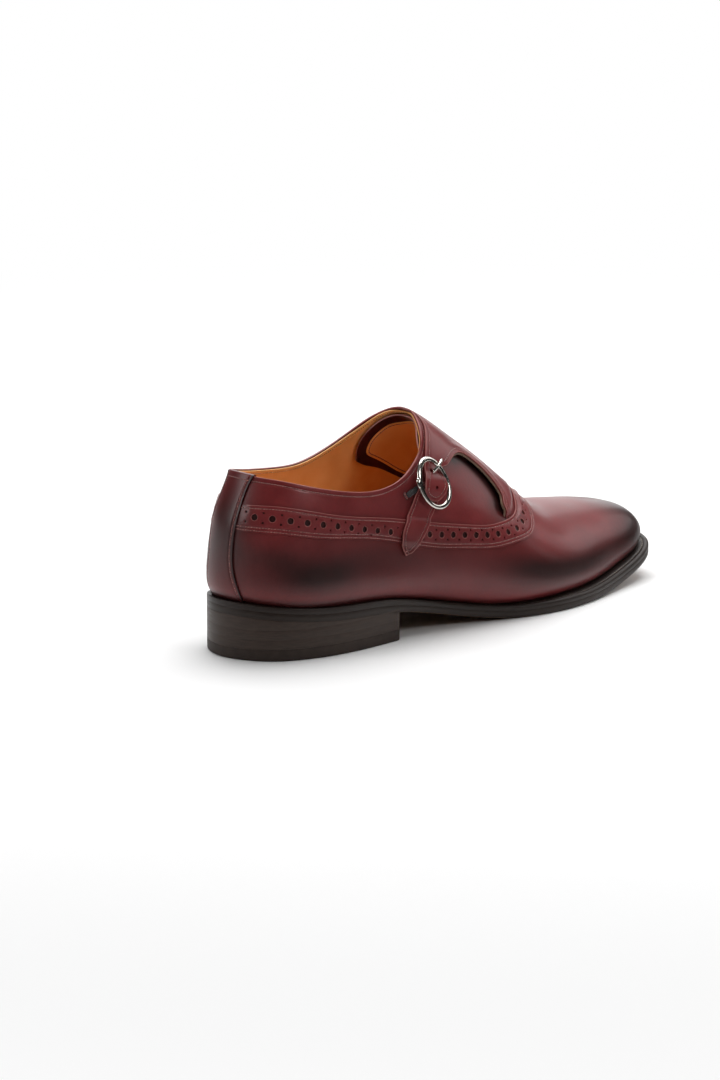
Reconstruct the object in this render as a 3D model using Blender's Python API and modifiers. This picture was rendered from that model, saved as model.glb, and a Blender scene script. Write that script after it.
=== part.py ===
"""Right shoe with a single buckled strap and a punched band, as separate solids.

The world is in metres, +Z up, toe towards -Y, the shoe's outer (lateral) side towards -X.
Shoe sizes below are in millimetres: u runs forward from the back of the heel, v runs out
to the lateral side and z runs up from the floor. A place on the upper is (s, g): s runs
round the feather line, where upper meets sole, from the back seam to the toe, and g is the
share of the way up the section there, 0 at the feather line and 1 at the ridge. Medial
places have a negative side.
"""
import math
from functools import lru_cache

import bmesh
import bpy
import numpy as np
from mathutils import Vector
from mathutils.geometry import delaunay_2d_cdt

MM = 0.001
LENGTH = 300.0
CENTRE_V = -0.5
GAP = 0.3
LATERAL = 1
MEDIAL = -1

# Sole: half widths each side of the shoe's line, and the height of its underside
SOLE_PLAN = np.array([
    # u     lateral  medial
    [0.0, -3.0, 3.0],
    [12.0, 23.5, 26.5],
    [25.0, 31.0, 32.0],
    [45.0, 36.3, 35.2],
    [80.0, 37.3, 34.0],
    [110.0, 36.5, 31.0],
    [140.0, 40.3, 31.5],
    [165.0, 47.0, 37.0],
    [190.0, 52.3, 47.5],
    [210.0, 51.8, 53.0],
    [232.0, 47.5, 52.5],
    [255.0, 41.0, 46.5],
    [275.0, 35.0, 37.5],
    [290.0, 28.0, 27.0],
    [297.0, 18.5, 17.5],
    [300.0, 0.0, 0.0],
])
TREAD = np.array([
    # u     z of the outsole's underside
    [0.0, 23.4],
    [25.0, 20.3],
    [45.0, 18.5],
    [80.0, 16.3],
    [110.0, 10.8],
    [140.0, 4.1],
    [165.0, 0.5],
    [190.0, 0.0],
    [215.0, 0.0],
    [235.0, 1.0],
    [255.0, 3.6],
    [275.0, 7.8],
    [290.0, 12.2],
    [300.0, 15.3],
])
OUTSOLE_THICKNESS = 3.7
WELT_THICKNESS = 3.0
INSOLE_THICKNESS = 2.4
WELT_BEVEL_HEEL = 0.6
WELT_BEVEL_FORE = 2.0
WELT_UNDER_UPPER = 5.5
TOP_PIECE_THICKNESS = 6.0
BREAST_LATERAL = 88.7
BREAST_MEDIAL = 96.7
SEAT_CUTTER_THICKNESS = 30.0

# Last: one row for each section. Feather point (u, lateral and medial half width, z), ridge
# point (top_u, top_v, top_z), then how far each side stands out past the feather point at
# TUCK_HEIGHT and at the three LEVELS of the remaining height.
TUCK_HEIGHT = 2.6
LEVELS = (0.20, 0.45, 0.72)
LAST = np.array([
    # u    lateral medial z    top_u top_v top_z  | lateral: tuck low mid high | medial: same
    [3.0, -3.0, 3.0, 30.9, 26.0, -2.0, 122.0, 1.3, 2.6, -0.5, -10.0, 1.3, 2.6, -0.5, -10.0],
    [13.0, 21.5, 24.0, 29.4, 31.0, -1.5, 121.0, 1.3, 2.6, -0.6, -9.3, 1.3, 2.6, -1.2, -9.8],
    [45.0, 34.0, 32.8, 26.1, 47.0, -0.5, 121.0, 1.3, 2.2, -0.9, -7.8, 1.3, 2.6, -0.5, -7.5],
    [75.0, 35.0, 31.0, 24.2, 75.0, -0.8, 120.0, 1.6, 2.6, -0.8, -7.4, 2.0, 4.0, 0.8, -5.2],
    [105.0, 34.2, 28.5, 19.4, 105.0, -1.5, 118.0, 2.6, 5.2, 1.4, -6.7, 3.0, 6.4, 3.3, -3.4],
    [130.0, 36.0, 28.5, 13.8, 130.0, -2.1, 112.0, 3.0, 6.8, 2.3, -8.7, 3.3, 7.9, 4.8, -4.0],
    [150.0, 40.0, 31.5, 9.9, 150.0, -2.9, 99.3, 3.0, 6.4, 1.2, -11.4, 3.3, 7.5, 4.6, -6.9],
    [170.0, 44.3, 37.5, 8.0, 170.0, -3.4, 85.0, 2.8, 5.0, -0.9, -14.5, 2.8, 6.0, 2.1, -11.6],
    [195.0, 46.0, 45.0, 7.5, 195.0, -3.4, 63.6, 2.6, 3.5, -1.9, -15.4, 2.4, 4.2, -1.3, -14.6],
    [215.0, 43.8, 47.5, 7.7, 215.0, -3.1, 50.0, 2.2, 2.6, -1.5, -13.1, 2.0, 3.0, -2.0, -13.5],
    [235.0, 39.4, 45.5, 8.8, 234.0, -2.6, 45.9, 1.9, 2.1, -1.2, -10.9, 1.8, 2.5, -2.1, -11.7],
    [258.0, 32.8, 39.0, 11.9, 249.0, -1.9, 43.8, 1.5, 1.7, -1.1, -9.5, 1.5, 2.1, -1.8, -9.7],
    [282.0, 24.8, 26.0, 17.4, 261.0, -0.8, 41.9, 1.2, 1.4, -1.1, -8.1, 1.2, 1.6, -1.5, -7.9],
    [291.0, 14.5, 14.0, 20.0, 264.0, -0.2, 41.3, 1.2, 1.4, -1.3, -7.6, 1.2, 1.5, -1.4, -7.5],
    [293.5, 0.0, 0.0, 20.8, 265.0, 0.0, 41.1, 1.2, 1.5, -1.4, -7.4, 1.2, 1.5, -1.4, -7.4],
])
LAT_OFFSETS = slice(7, 11)
MED_OFFSETS = slice(11, 15)

UPPER_WALL = 2.0
UPPER_RISE = (0.0, 0.03, 0.08, 0.16, 0.25, 0.35, 0.45, 0.55, 0.65, 0.74, 0.82, 0.89, 0.95, 1.0)
THROAT = 146.0
TOPLINE_LATERAL = np.array([
    # s      g
    [0.0, 0.690],
    [16.4, 0.676],
    [31.0, 0.647],
    [51.9, 0.589],
    [74.5, 0.539],
    [93.6, 0.535],
    [110.6, 0.585],
    [124.9, 0.675],
    [136.3, 0.799],
    [141.0, 0.900],
    [THROAT, 1.0],
])
TOPLINE_MEDIAL = np.array([
    # s      g
    [0.0, 0.690],
    [16.4, 0.678],
    [31.0, 0.655],
    [54.5, 0.604],
    [75.0, 0.582],
    [90.0, 0.596],
    [104.0, 0.648],
    [121.3, 0.749],
    [132.0, 0.834],
    [139.0, 0.915],
    [THROAT, 1.0],
])

# Leather pieces laid on the upper, as outlines. Each is a list of edges, and each edge a
# row of places (s, c): c is the share of the girth from the ridge, lateral positive. On a
# flat pattern of the upper a whole share is about GIRTH long.
GIRTH = 115.0
STRAP_THICKNESS = 1.5
STRAP_LIFT = 0.45
STRAP_OUTLINE = [
    [(128.0, -0.610), (121.0, -0.450), (121.3, -0.251)],
    [(121.3, -0.251), (132.0, -0.166), (141.0, -0.045), (143.3, 0.070), (139.5, 0.190),
     (131.1, 0.305), (126.5, 0.375), (121.2, 0.440), (120.2, 0.480)],
    [(120.2, 0.480), (122.5, 0.512), (128.3, 0.528), (134.2, 0.505), (136.4, 0.455)],
    [(136.4, 0.455), (135.2, 0.395), (140.0, 0.358), (144.3, 0.340)],
    [(144.3, 0.340), (155.1, 0.271), (168.4, 0.264), (177.7, 0.340), (179.9, 0.430),
     (177.5, 0.476), (178.4, 0.512), (179.9, 0.539)],
    [(179.9, 0.539), (189.1, 0.478), (198.8, 0.339), (214.0, 0.150), (219.0, 0.0),
     (214.0, -0.150), (198.8, -0.339), (189.1, -0.478), (174.5, -0.562), (151.1, -0.613),
     (128.0, -0.610)],
]
TONGUE_THICKNESS = 1.8
TONGUE_GAP = 1.1
TONGUE_OUTLINE = [
    [(129.0, -0.375), (128.0, -0.280), (137.8, -0.136), (146.5, 0.0), (143.5, 0.100),
     (137.0, 0.200), (133.0, 0.270), (134.0, 0.340)],
    [(134.0, 0.340), (165.0, 0.360), (192.0, 0.300)],
    [(192.0, 0.300), (202.0, 0.0), (192.0, -0.300)],
    [(192.0, -0.300), (164.0, -0.375), (146.0, -0.382), (129.0, -0.375)],
]
TAB_THICKNESS = 1.3
TAB_OUTLINE = [
    [(121.0, 0.442), (117.2, 0.486), (112.3, 0.551), (105.6, 0.643), (102.6, 0.708),
     (102.8, 0.748), (104.6, 0.784)],
    [(104.6, 0.784), (108.7, 0.771), (113.8, 0.731), (120.8, 0.652), (126.3, 0.580),
     (132.5, 0.500), (135.0, 0.442)],
    [(135.0, 0.442), (121.0, 0.442)],
]
ELASTIC_THICKNESS = 0.7
ELASTIC_OUTLINE = [
    [(116.6, 0.463), (111.1, 0.488), (112.9, 0.510), (116.4, 0.487), (116.6, 0.463)],
]

BUCKLE_S = 128.6
BUCKLE_G = 0.551
BUCKLE_HALF_WIDTH = 10.5
BUCKLE_HALF_HEIGHT = 12.6
BUCKLE_LIFT = 4.4
RING_RADIUS = 1.4
BAR_RADIUS = 0.9
BAR_LIFT = 2.8
BOSS_RADIUS = 2.1
BOSS_SCALE = (0.8, 0.8, 1.6)
STRAP_LIFT_BAR = 4.0
STRAP_LIFT_TAIL = 2.1
STRAP_LIFT_START_G = 0.641
STRAP_TAIL_G = 0.472
STRAP_OVER_BAR = 0.014
STRAP_LIFT_END_S = 150.0
PRONG_RADIUS = 0.75
PRONG_HOLE = (129.5, 0.604)
PRONG_HOLE_RADIUS = 2.1
PRONG_PATH = np.array([
    # s      g      lift
    [129.1, 0.586, 2.0],
    [129.2, 0.592, 2.5],
    [129.4, 0.600, 3.4],
    [129.6, 0.608, 4.7],
    [130.4, 0.617, 5.9],
    [131.8, 0.628, 6.8],
    [133.6, 0.642, 7.0],
    [135.3, 0.656, 6.7],
])

OXBLOOD = (0.10, 0.018, 0.018)
TAN = (0.42, 0.16, 0.04)
DARK_BROWN = (0.035, 0.022, 0.017)
BLACK = (0.01, 0.01, 0.01)
SILVER = (0.80, 0.79, 0.76)


def spline(x, y, start=None, end=None):
    """Cubic spline through rows y at x, with end slopes if given, else straight ends."""
    x = np.asarray(x, float)
    y = np.asarray(y, float).reshape(len(x), -1)
    n = len(x)
    h = np.diff(x)
    matrix = np.zeros((n, n))
    right = np.zeros(y.shape)
    for i in range(1, n - 1):
        matrix[i, i - 1:i + 2] = (1 / h[i - 1], 2 * (1 / h[i - 1] + 1 / h[i]), 1 / h[i])
        right[i] = 3 * ((y[i] - y[i - 1]) / h[i - 1] ** 2 + (y[i + 1] - y[i]) / h[i] ** 2)
    matrix[0, :2] = (2, 1) if start is None else (1, 0)
    right[0] = 3 * (y[1] - y[0]) / h[0] if start is None else start
    matrix[-1, -2:] = (1, 2) if end is None else (0, 1)
    right[-1] = 3 * (y[-1] - y[-2]) / h[-1] if end is None else end
    slope = np.linalg.solve(matrix, right)

    def at(t):
        i = min(max(int(np.searchsorted(x, t)) - 1, 0), n - 2)
        w = (t - x[i]) / h[i]
        return ((2 * w ** 3 - 3 * w ** 2 + 1) * y[i] + (w ** 3 - 2 * w ** 2 + w) * h[i] * slope[i]
                + (3 * w ** 2 - 2 * w ** 3) * y[i + 1] + (w ** 3 - w ** 2) * h[i] * slope[i + 1])
    return at


def round_the_edge(rows):
    """Spline of a table whose half widths leave and reach the shoe's line squarely."""
    middle = 0.5 * (rows[:, 1] + rows[:, 2])
    knots = np.r_[0, np.cumsum(np.hypot(np.diff(rows[:, 0]), np.diff(middle)))]
    length = knots[-1]
    start = np.zeros(rows.shape[1])
    start[1:3] = 1.0
    return spline(knots, rows, start, -start), length


last_row, FEATHER_LENGTH = round_the_edge(LAST)
sole_row, SOLE_EDGE_LENGTH = round_the_edge(SOLE_PLAN)
ridge = spline(LAST[:, 4], LAST[:, 5:7])
tread_spline = spline(TREAD[:, 0], TREAD[:, 1])
topline = {
    LATERAL: spline(TOPLINE_LATERAL[:, 0], TOPLINE_LATERAL[:, 1], 0.0),
    MEDIAL: spline(TOPLINE_MEDIAL[:, 0], TOPLINE_MEDIAL[:, 1], 0.0),
}


def world(u, v, z):
    """Place in metres of a shoe place in millimetres."""
    return Vector(((CENTRE_V - v) * MM, (LENGTH / 2 - u) * MM, z * MM))


def tread(u):
    return max(0.0, float(tread_spline(u)[0]))


def edge_place(row_at, side, s, inset=0.0):
    """Plan place (u, v) on a sole or feather edge, moved in by inset."""
    step = 0.05
    row = row_at(s)
    change = row_at(s + step) - row_at(s - step)
    width = 1 if side == LATERAL else 2
    forward = change[0]
    outward = change[width]
    size = math.hypot(forward, outward)
    u = row[0] + inset * outward / size
    v = side * (row[width] - inset * forward / size)
    return u, v


@lru_cache(maxsize=None)
def section(s, side):
    """Half a section of the last at s: spline of (u, v, z) over the share of its girth."""
    row = last_row(s)
    u, z = row[0], row[3]
    v = row[1] if side == LATERAL else -row[2]
    offsets = row[LAT_OFFSETS] if side == LATERAL else row[MED_OFFSETS]
    top_u = row[4]
    top_v, top_z = ridge(top_u)
    out_u, out_v = u - top_u, v - top_v
    radius = math.hypot(out_u, out_v)
    out_u, out_v = out_u / radius, out_v / radius
    rise = top_z - z - TUCK_HEIGHT
    radii = [radius] + [radius + offset for offset in offsets] + [0.0]
    heights = [z] + [z + TUCK_HEIGHT + rise * level for level in (0.0,) + LEVELS] + [top_z]
    points = np.c_[radii, heights]
    chords = np.r_[0, np.cumsum(np.linalg.norm(np.diff(points, axis=0), axis=1))]
    ridge_slope = (ridge(top_u + 0.01)[1] - ridge(top_u - 0.01)[1]) / 0.02
    tangent = np.array([-1.0, -ridge_slope * out_u])
    tangent /= np.linalg.norm(tangent)
    profile = spline(chords, points, None, tangent)

    def at(g):
        r, height = profile(g * chords[-1])
        return np.array([top_u + out_u * r, top_v + out_v * r, height])
    return at


def bare(s, c):
    """Place on the last: c is 0 on the ridge, 1 at the lateral and -1 at the medial edge."""
    side = LATERAL if c >= 0 else MEDIAL
    return section(round(min(max(s, 0.0), FEATHER_LENGTH), 4), side)(1 - abs(c))


def skin(s, c, lift=0.0):
    """Shoe place at lift above the upper's outer face."""
    place = bare(s, c)
    if lift == 0.0:
        return place
    ds, dc = 0.4, 0.004
    along = bare(s + ds, c) - bare(s - ds, c)
    down = bare(s, c + dc) - bare(s, c - dc)
    normal = np.cross(along, down)
    return place + lift * normal / np.linalg.norm(normal)


def material(name, colour, roughness, metallic=0.0):
    made = bpy.data.materials.new(name)
    made.use_nodes = True
    shader = made.node_tree.nodes["Principled BSDF"]
    shader.inputs["Base Color"].default_value = (*colour, 1.0)
    shader.inputs["Roughness"].default_value = roughness
    shader.inputs["Metallic"].default_value = metallic
    return made


def add_object(name, mesh, finish, group):
    made = bpy.data.objects.new(name, mesh)
    group.objects.link(made)
    if finish:
        made.data.materials.append(finish)
    return made


def mesh_from(name, points, faces, outward):
    """Mesh of shoe places whose first face looks along outward, doubles welded."""
    mesh = bpy.data.meshes.new(name)
    mesh.from_pydata([world(*point) for point in points], [], faces)
    work = bmesh.new()
    work.from_mesh(mesh)
    bmesh.ops.remove_doubles(work, verts=work.verts, dist=0.00001)
    bmesh.ops.dissolve_degenerate(work, edges=work.edges, dist=0.00001)
    bmesh.ops.recalc_face_normals(work, faces=work.faces)
    total = sum((face.normal * face.calc_area() for face in work.faces), Vector())
    if outward and total.dot(Vector(outward)) < 0:
        bmesh.ops.reverse_faces(work, faces=work.faces)
    work.to_mesh(mesh)
    work.free()
    return mesh


def thicken(made, thickness, offset):
    shell = made.modifiers.new("Thickness", 'SOLIDIFY')
    shell.thickness = thickness * MM
    shell.offset = offset
    shell.use_even_offset = True
    return shell


def grid_faces(rows, columns):
    faces = []
    for i in range(rows - 1):
        for j in range(columns - 1):
            corner = i * columns + j
            faces.append((corner, corner + 1, corner + columns + 1, corner + columns))
    return faces


def stations(length, ends=8, middle=24, end_share=0.14):
    """Places round an edge, closer together at heel and toe."""
    near = np.linspace(0, end_share, ends, endpoint=False)
    between = np.linspace(end_share, 1 - end_share, middle, endpoint=False)
    far = np.linspace(1 - end_share, 1, ends + 1)
    return length * np.r_[near, between, far]


def sole_plate(name, row_at, length, inset, height, thickness, finish, group):
    """Plate across the shoe: its underside is height above the tread, and it grows up."""
    across = 3
    points = []
    places = stations(length)
    for s in places:
        lateral = np.array(edge_place(row_at, LATERAL, s, inset))
        medial = np.array(edge_place(row_at, MEDIAL, s, inset))
        for share in np.linspace(0, 1, across + 1):
            u, v = lateral + (medial - lateral) * share
            points.append((u, v, tread(u) + height))
    mesh = mesh_from(name, points, grid_faces(len(places), across + 1), (0, 0, 1))
    made = add_object(name, mesh, finish, group)
    thicken(made, thickness, 1.0)
    return made


def make_outsole(group, finish):
    return sole_plate("outsole", sole_row, SOLE_EDGE_LENGTH, 0.0, 0.0, OUTSOLE_THICKNESS,
                      finish, group)


def make_insole(group, finish):
    height = OUTSOLE_THICKNESS + GAP + WELT_THICKNESS + GAP
    return sole_plate("insole", last_row, FEATHER_LENGTH, UPPER_WALL + 2 * GAP, height,
                      INSOLE_THICKNESS, finish, group)


def make_welt(group, finish):
    """Ring between outsole and upper: upright edge, rounded shoulder, flat ledge."""
    low = OUTSOLE_THICKNESS + GAP
    high = low + WELT_THICKNESS
    shares = stations(1.0, 7, 22)
    loop = [(LATERAL, share) for share in shares] + [(MEDIAL, share) for share in shares[-2:0:-1]]
    points = []
    for side, share in loop:
        fore = min(max((share - 0.30) / 0.10, 0.0), 1.0)
        bevel = WELT_BEVEL_HEEL + (WELT_BEVEL_FORE - WELT_BEVEL_HEEL) * fore
        s = share * SOLE_EDGE_LENGTH
        profile = [(0.0, low), (0.0, high - 0.8 * bevel), (0.35 * bevel, high - 0.25 * bevel),
                   (bevel, high)]
        places = [(*edge_place(sole_row, side, s, inset), z) for inset, z in profile]
        inner = edge_place(last_row, side, share * FEATHER_LENGTH, WELT_UNDER_UPPER)
        places += [(*inner, high), (*inner, low)]
        points += [(u, v, tread(u) + z) for u, v, z in places]
    wide = len(places)
    faces = []
    for i in range(len(loop)):
        for j in range(wide):
            here, there = i * wide, ((i + 1) % len(loop)) * wide
            k = (j + 1) % wide
            faces.append((here + j, here + k, there + k, there + j))
    mesh = mesh_from("welt", points, faces, None)
    return add_object("welt", mesh, finish, group)


def heel_block(name, low, high, finish, group):
    """Upright block on the heel's outline, from the back to the breast."""
    curve = bpy.data.curves.new(name, 'CURVE')
    curve.dimensions = '2D'
    curve.fill_mode = 'BOTH'
    curve.extrude = 0.5 * (high - low) * MM
    outline = []
    for side, breast in ((LATERAL, BREAST_LATERAL), (MEDIAL, BREAST_MEDIAL)):
        places = [edge_place(sole_row, side, s, 0.0) for s in np.r_[0:28:5, 28:160:6]]
        behind = [place for place in places if place[0] < breast - 2]
        width = 1 if side == LATERAL else 2
        v = np.interp(breast, SOLE_PLAN[:, 0], SOLE_PLAN[:, width])
        behind.append((breast, side * v))
        outline += behind if side == LATERAL else behind[:0:-1]
    path = curve.splines.new('POLY')
    path.points.add(len(outline) - 1)
    for point, (u, v) in zip(path.points, outline):
        place = world(u, v, 0)
        point.co = (place.x, place.y, 0, 1)
    path.use_cyclic_u = True
    raw = add_object(name + "_outline", curve, None, group)
    raw.location.z = 0.5 * (low + high) * MM
    return to_mesh(raw, name, finish, group)


def to_mesh(raw, name, finish, group):
    """Replace a curve object with a mesh object in the same place, caps welded."""
    bpy.context.view_layer.update()
    evaluated = raw.evaluated_get(bpy.context.evaluated_depsgraph_get())
    mesh = bpy.data.meshes.new_from_object(evaluated)
    mesh.name = name
    mesh.transform(raw.matrix_world)
    mesh.materials.clear()
    work = bmesh.new()
    work.from_mesh(mesh)
    bmesh.ops.remove_doubles(work, verts=work.verts, dist=0.00001)
    bmesh.ops.recalc_face_normals(work, faces=work.faces)
    work.to_mesh(mesh)
    work.free()
    bpy.data.objects.remove(raw, do_unlink=True)
    return add_object(name, mesh, finish, group)


def boolean(target, tool, operation):
    cut = target.modifiers.new(operation.title(), 'BOOLEAN')
    cut.operation = operation
    cut.solver = 'EXACT'
    cut.object = tool


def hide_cutter(cutter):
    cutter.hide_render = True
    cutter.display_type = 'WIRE'


def make_heel(group, cutters, leather, rubber):
    """Stacked lifts cut to the outsole's underside, on a rubber top piece."""
    made_top = heel_block("top_piece", 0.0, TOP_PIECE_THICKNESS, rubber, group)
    stack = heel_block("heel_stack", TOP_PIECE_THICKNESS + GAP, TREAD[0, 1] + 5, leather, group)
    places = np.linspace(-12.0, BREAST_MEDIAL + 15.0, 32)
    points = [(u, v, tread_spline(u)[0] - GAP) for u in places for v in (60.0, -60.0)]
    mesh = mesh_from("seat_cutter", points, grid_faces(len(places), 2), (0, 0, 1))
    cutter = add_object("seat_cutter", mesh, None, cutters)
    thicken(cutter, SEAT_CUTTER_THICKNESS, 1.0)
    hide_cutter(cutter)
    boolean(stack, cutter, 'DIFFERENCE')
    return made_top, stack


def make_upper(group, finish):
    """Hollow shell on the last, open underneath and at the collar and throat."""
    up = len(UPPER_RISE)
    toe = np.linspace(290, FEATHER_LENGTH, 9)
    places = np.r_[0:30:6, 30:120:9, 120:151:5, 160:290:10, toe]
    points = []
    faces = []
    for side in (LATERAL, MEDIAL):
        first = len(points)
        for s in places:
            half = section(round(float(s), 4), side)
            top = float(topline[side](s)[0]) if s < THROAT else 1.0
            points += [half(top * share) for share in UPPER_RISE]
        faces += [tuple(first + k for k in face) for face in grid_faces(len(places), up)]
    mesh = mesh_from("upper", points, faces, (0, 0, 1))
    made = add_object("upper", mesh, finish, group)
    thicken(made, UPPER_WALL, -1.0)
    return made


def edge_points(places, step):
    """Smooth row of places through the given ones, about a step apart, last left off."""
    places = np.array(places)
    flat = places * (1.0, GIRTH)
    knots = np.r_[0, np.cumsum(np.linalg.norm(np.diff(flat, axis=0), axis=1))]
    route = spline(knots, places)
    count = max(1, round(knots[-1] / step))
    return [tuple(route(t)) for t in np.linspace(0, knots[-1], count + 1)[:-1]]


def leather_piece(name, edges, lift, thickness, step, finish, group):
    """Piece cut to an outline and laid on the upper: its underside is lift above the skin."""
    outline = [place for edge in edges for place in edge_points(edge, step)]
    flat = [(s, c * GIRTH) for s, c in outline]
    low = np.min(flat, axis=0)
    high = np.max(flat, axis=0)
    rim = np.array(flat)
    inside = []
    for row, y in enumerate(np.arange(low[1] + 0.5 * step, high[1], 0.866 * step)):
        for x in np.arange(low[0] + 0.5 * step * (row % 2), high[0], step):
            if np.min(np.hypot(rim[:, 0] - x, rim[:, 1] - y)) > 0.6 * step:
                inside.append((x, y))
    count = len(flat)
    found = delaunay_2d_cdt([Vector(place) for place in flat + inside],
                            [(i, (i + 1) % count) for i in range(count)],
                            [list(range(count))], 1, 0.001)
    places = [(place.x, place.y / GIRTH) for place in found[0]]
    points = [skin(s, c, lift(s, c)) for s, c in places]
    mesh = bpy.data.meshes.new(name)
    mesh.from_pydata([world(*point) for point in points], [], found[2])
    work = bmesh.new()
    work.from_mesh(mesh)
    bmesh.ops.delete(work, geom=[v for v in work.verts if not v.link_faces], context='VERTS')
    bmesh.ops.recalc_face_normals(work, faces=work.faces)
    work.faces.ensure_lookup_table()
    face = max(work.faces, key=lambda face: face.calc_area())
    s, c = np.mean([places[i] for i in found[2][face.index]], axis=0)
    outward = world(*skin(s, c, 1.0)) - world(*skin(s, c, 0.5))
    if face.normal.dot(outward) < 0:
        bmesh.ops.reverse_faces(work, faces=work.faces)
    work.to_mesh(mesh)
    work.free()
    made = add_object(name, mesh, finish, group)
    thicken(made, thickness, 1.0)
    return made


def strap_lift(s, c):
    """Flat on the upper, then up over the buckle's bar and down to the tail."""
    g = 1 - c
    if c < 0 or g > STRAP_LIFT_START_G or s > STRAP_LIFT_END_S:
        return STRAP_LIFT
    bar_top, bar_foot = BUCKLE_G + STRAP_OVER_BAR, BUCKLE_G - STRAP_OVER_BAR
    if g > bar_top:
        share = (STRAP_LIFT_START_G - g) / (STRAP_LIFT_START_G - bar_top)
        return STRAP_LIFT + (STRAP_LIFT_BAR - STRAP_LIFT) * share * share * (3 - 2 * share)
    share = min(max((bar_foot - g) / (bar_foot - STRAP_TAIL_G), 0.0), 1.0)
    return STRAP_LIFT_BAR + (STRAP_LIFT_TAIL - STRAP_LIFT_BAR) * share * share * (3 - 2 * share)


def rod(name, points, radius, resolution, closed, finish, group):
    """Round wire along shoe places."""
    curve = bpy.data.curves.new(name, 'CURVE')
    curve.dimensions = '3D'
    curve.bevel_depth = radius * MM
    curve.bevel_resolution = resolution
    curve.use_fill_caps = not closed
    path = curve.splines.new('POLY')
    path.points.add(len(points) - 1)
    for point, place in zip(path.points, points):
        point.co = (*world(*place), 1)
    path.use_cyclic_u = closed
    raw = add_object(name + "_path", curve, None, group)
    return to_mesh(raw, name, finish, group)


def make_buckle(group, cutters, metal):
    """Oval ring with a bar across it, and the prong from the strap's hole to the ring."""
    ring = []
    for angle in np.linspace(0, 2 * math.pi, 32, endpoint=False):
        s = BUCKLE_S + BUCKLE_HALF_WIDTH * math.cos(angle)
        c = 1 - BUCKLE_G + BUCKLE_HALF_HEIGHT / GIRTH * math.sin(angle)
        ring.append(skin(s, c, BUCKLE_LIFT))
    frame = rod("buckle_frame", ring, RING_RADIUS, 2, True, metal, group)
    reach = np.linspace(-BUCKLE_HALF_WIDTH - 0.4, BUCKLE_HALF_WIDTH + 0.4, 6)
    places = [skin(BUCKLE_S + ds, 1 - BUCKLE_G, BAR_LIFT) for ds in reach]
    bar = rod("bar_tool", places, BAR_RADIUS, 2, False, None, cutters)
    centre = skin(BUCKLE_S - BUCKLE_HALF_WIDTH - 1.2, 1 - BUCKLE_G, BUCKLE_LIFT - 0.4)
    bpy.ops.mesh.primitive_uv_sphere_add(segments=12, ring_count=8, radius=BOSS_RADIUS * MM,
                                         location=world(*centre))
    boss = bpy.context.object
    boss.name = "boss_tool"
    boss.scale = BOSS_SCALE
    for collection in list(boss.users_collection):
        collection.objects.unlink(boss)
    cutters.objects.link(boss)
    for tool in (bar, boss):
        hide_cutter(tool)
        boolean(frame, tool, 'UNION')
    route = [skin(s, 1 - g, lift) for s, g, lift in PRONG_PATH]
    prong = rod("buckle_prong", route, PRONG_RADIUS, 2, False, metal, group)
    return frame, prong


def make_strap(group, cutters, finish):
    strap = leather_piece("strap", STRAP_OUTLINE, strap_lift, STRAP_THICKNESS, 5.0, finish, group)
    s, g = PRONG_HOLE
    low, high = skin(s, 1 - g, 0.5), skin(s, 1 - g, 9.0)
    punch = rod("prong_punch", [low, high], PRONG_HOLE_RADIUS, 3, False, None, cutters)
    hide_cutter(punch)
    boolean(strap, punch, 'DIFFERENCE')
    return strap


def main():
    for old in list(bpy.data.objects):
        bpy.data.objects.remove(old, do_unlink=True)
    shoe = bpy.data.collections.new("monk_shoe")
    cutters = bpy.data.collections.new("cutters")
    for collection in (shoe, cutters):
        bpy.context.scene.collection.children.link(collection)
    calf = material("oxblood_calf", OXBLOOD, 0.30)
    lining = material("tan_lining", TAN, 0.55)
    edge = material("brown_sole_leather", DARK_BROWN, 0.45)
    rubber = material("black_rubber", BLACK, 0.70)
    elastic = material("black_elastic", BLACK, 0.80)
    metal = material("polished_nickel", SILVER, 0.12, 1.0)

    make_outsole(shoe, edge)
    make_heel(shoe, cutters, edge, rubber)
    make_welt(shoe, edge)
    make_insole(shoe, lining)
    make_upper(shoe, calf)
    tongue_lift = -(UPPER_WALL + TONGUE_GAP + TONGUE_THICKNESS)
    leather_piece("tongue", TONGUE_OUTLINE, lambda s, c: tongue_lift, TONGUE_THICKNESS, 7.0,
                  lining, shoe)
    make_strap(shoe, cutters, calf)
    leather_piece("buckle_tab", TAB_OUTLINE, lambda s, c: GAP, TAB_THICKNESS, 4.0, calf, shoe)
    leather_piece("buckle_elastic", ELASTIC_OUTLINE, lambda s, c: GAP, ELASTIC_THICKNESS, 2.0,
                  elastic, shoe)
    make_buckle(shoe, cutters, metal)


main()
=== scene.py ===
"""Looks of a burnished oxblood calf shoe with one buckled strap and a punched band.

Everything is in the frame's metres: toe towards -Y, the shoe's outer side towards -X. The
leather is laid out in shoe millimetres, (u, v, z), and on the flat pattern of the upper,
(s, c): s runs round the feather line from the back seam to the toe, and c across the shoe,
-1 at the inner feather line, 0 on the ridge and 1 at the outer feather line.
"""
from contextlib import contextmanager

import bmesh
import bpy
import numpy as np
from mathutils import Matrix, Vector
from mathutils.geometry import delaunay_2d_cdt
from mathutils.kdtree import KDTree

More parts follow.
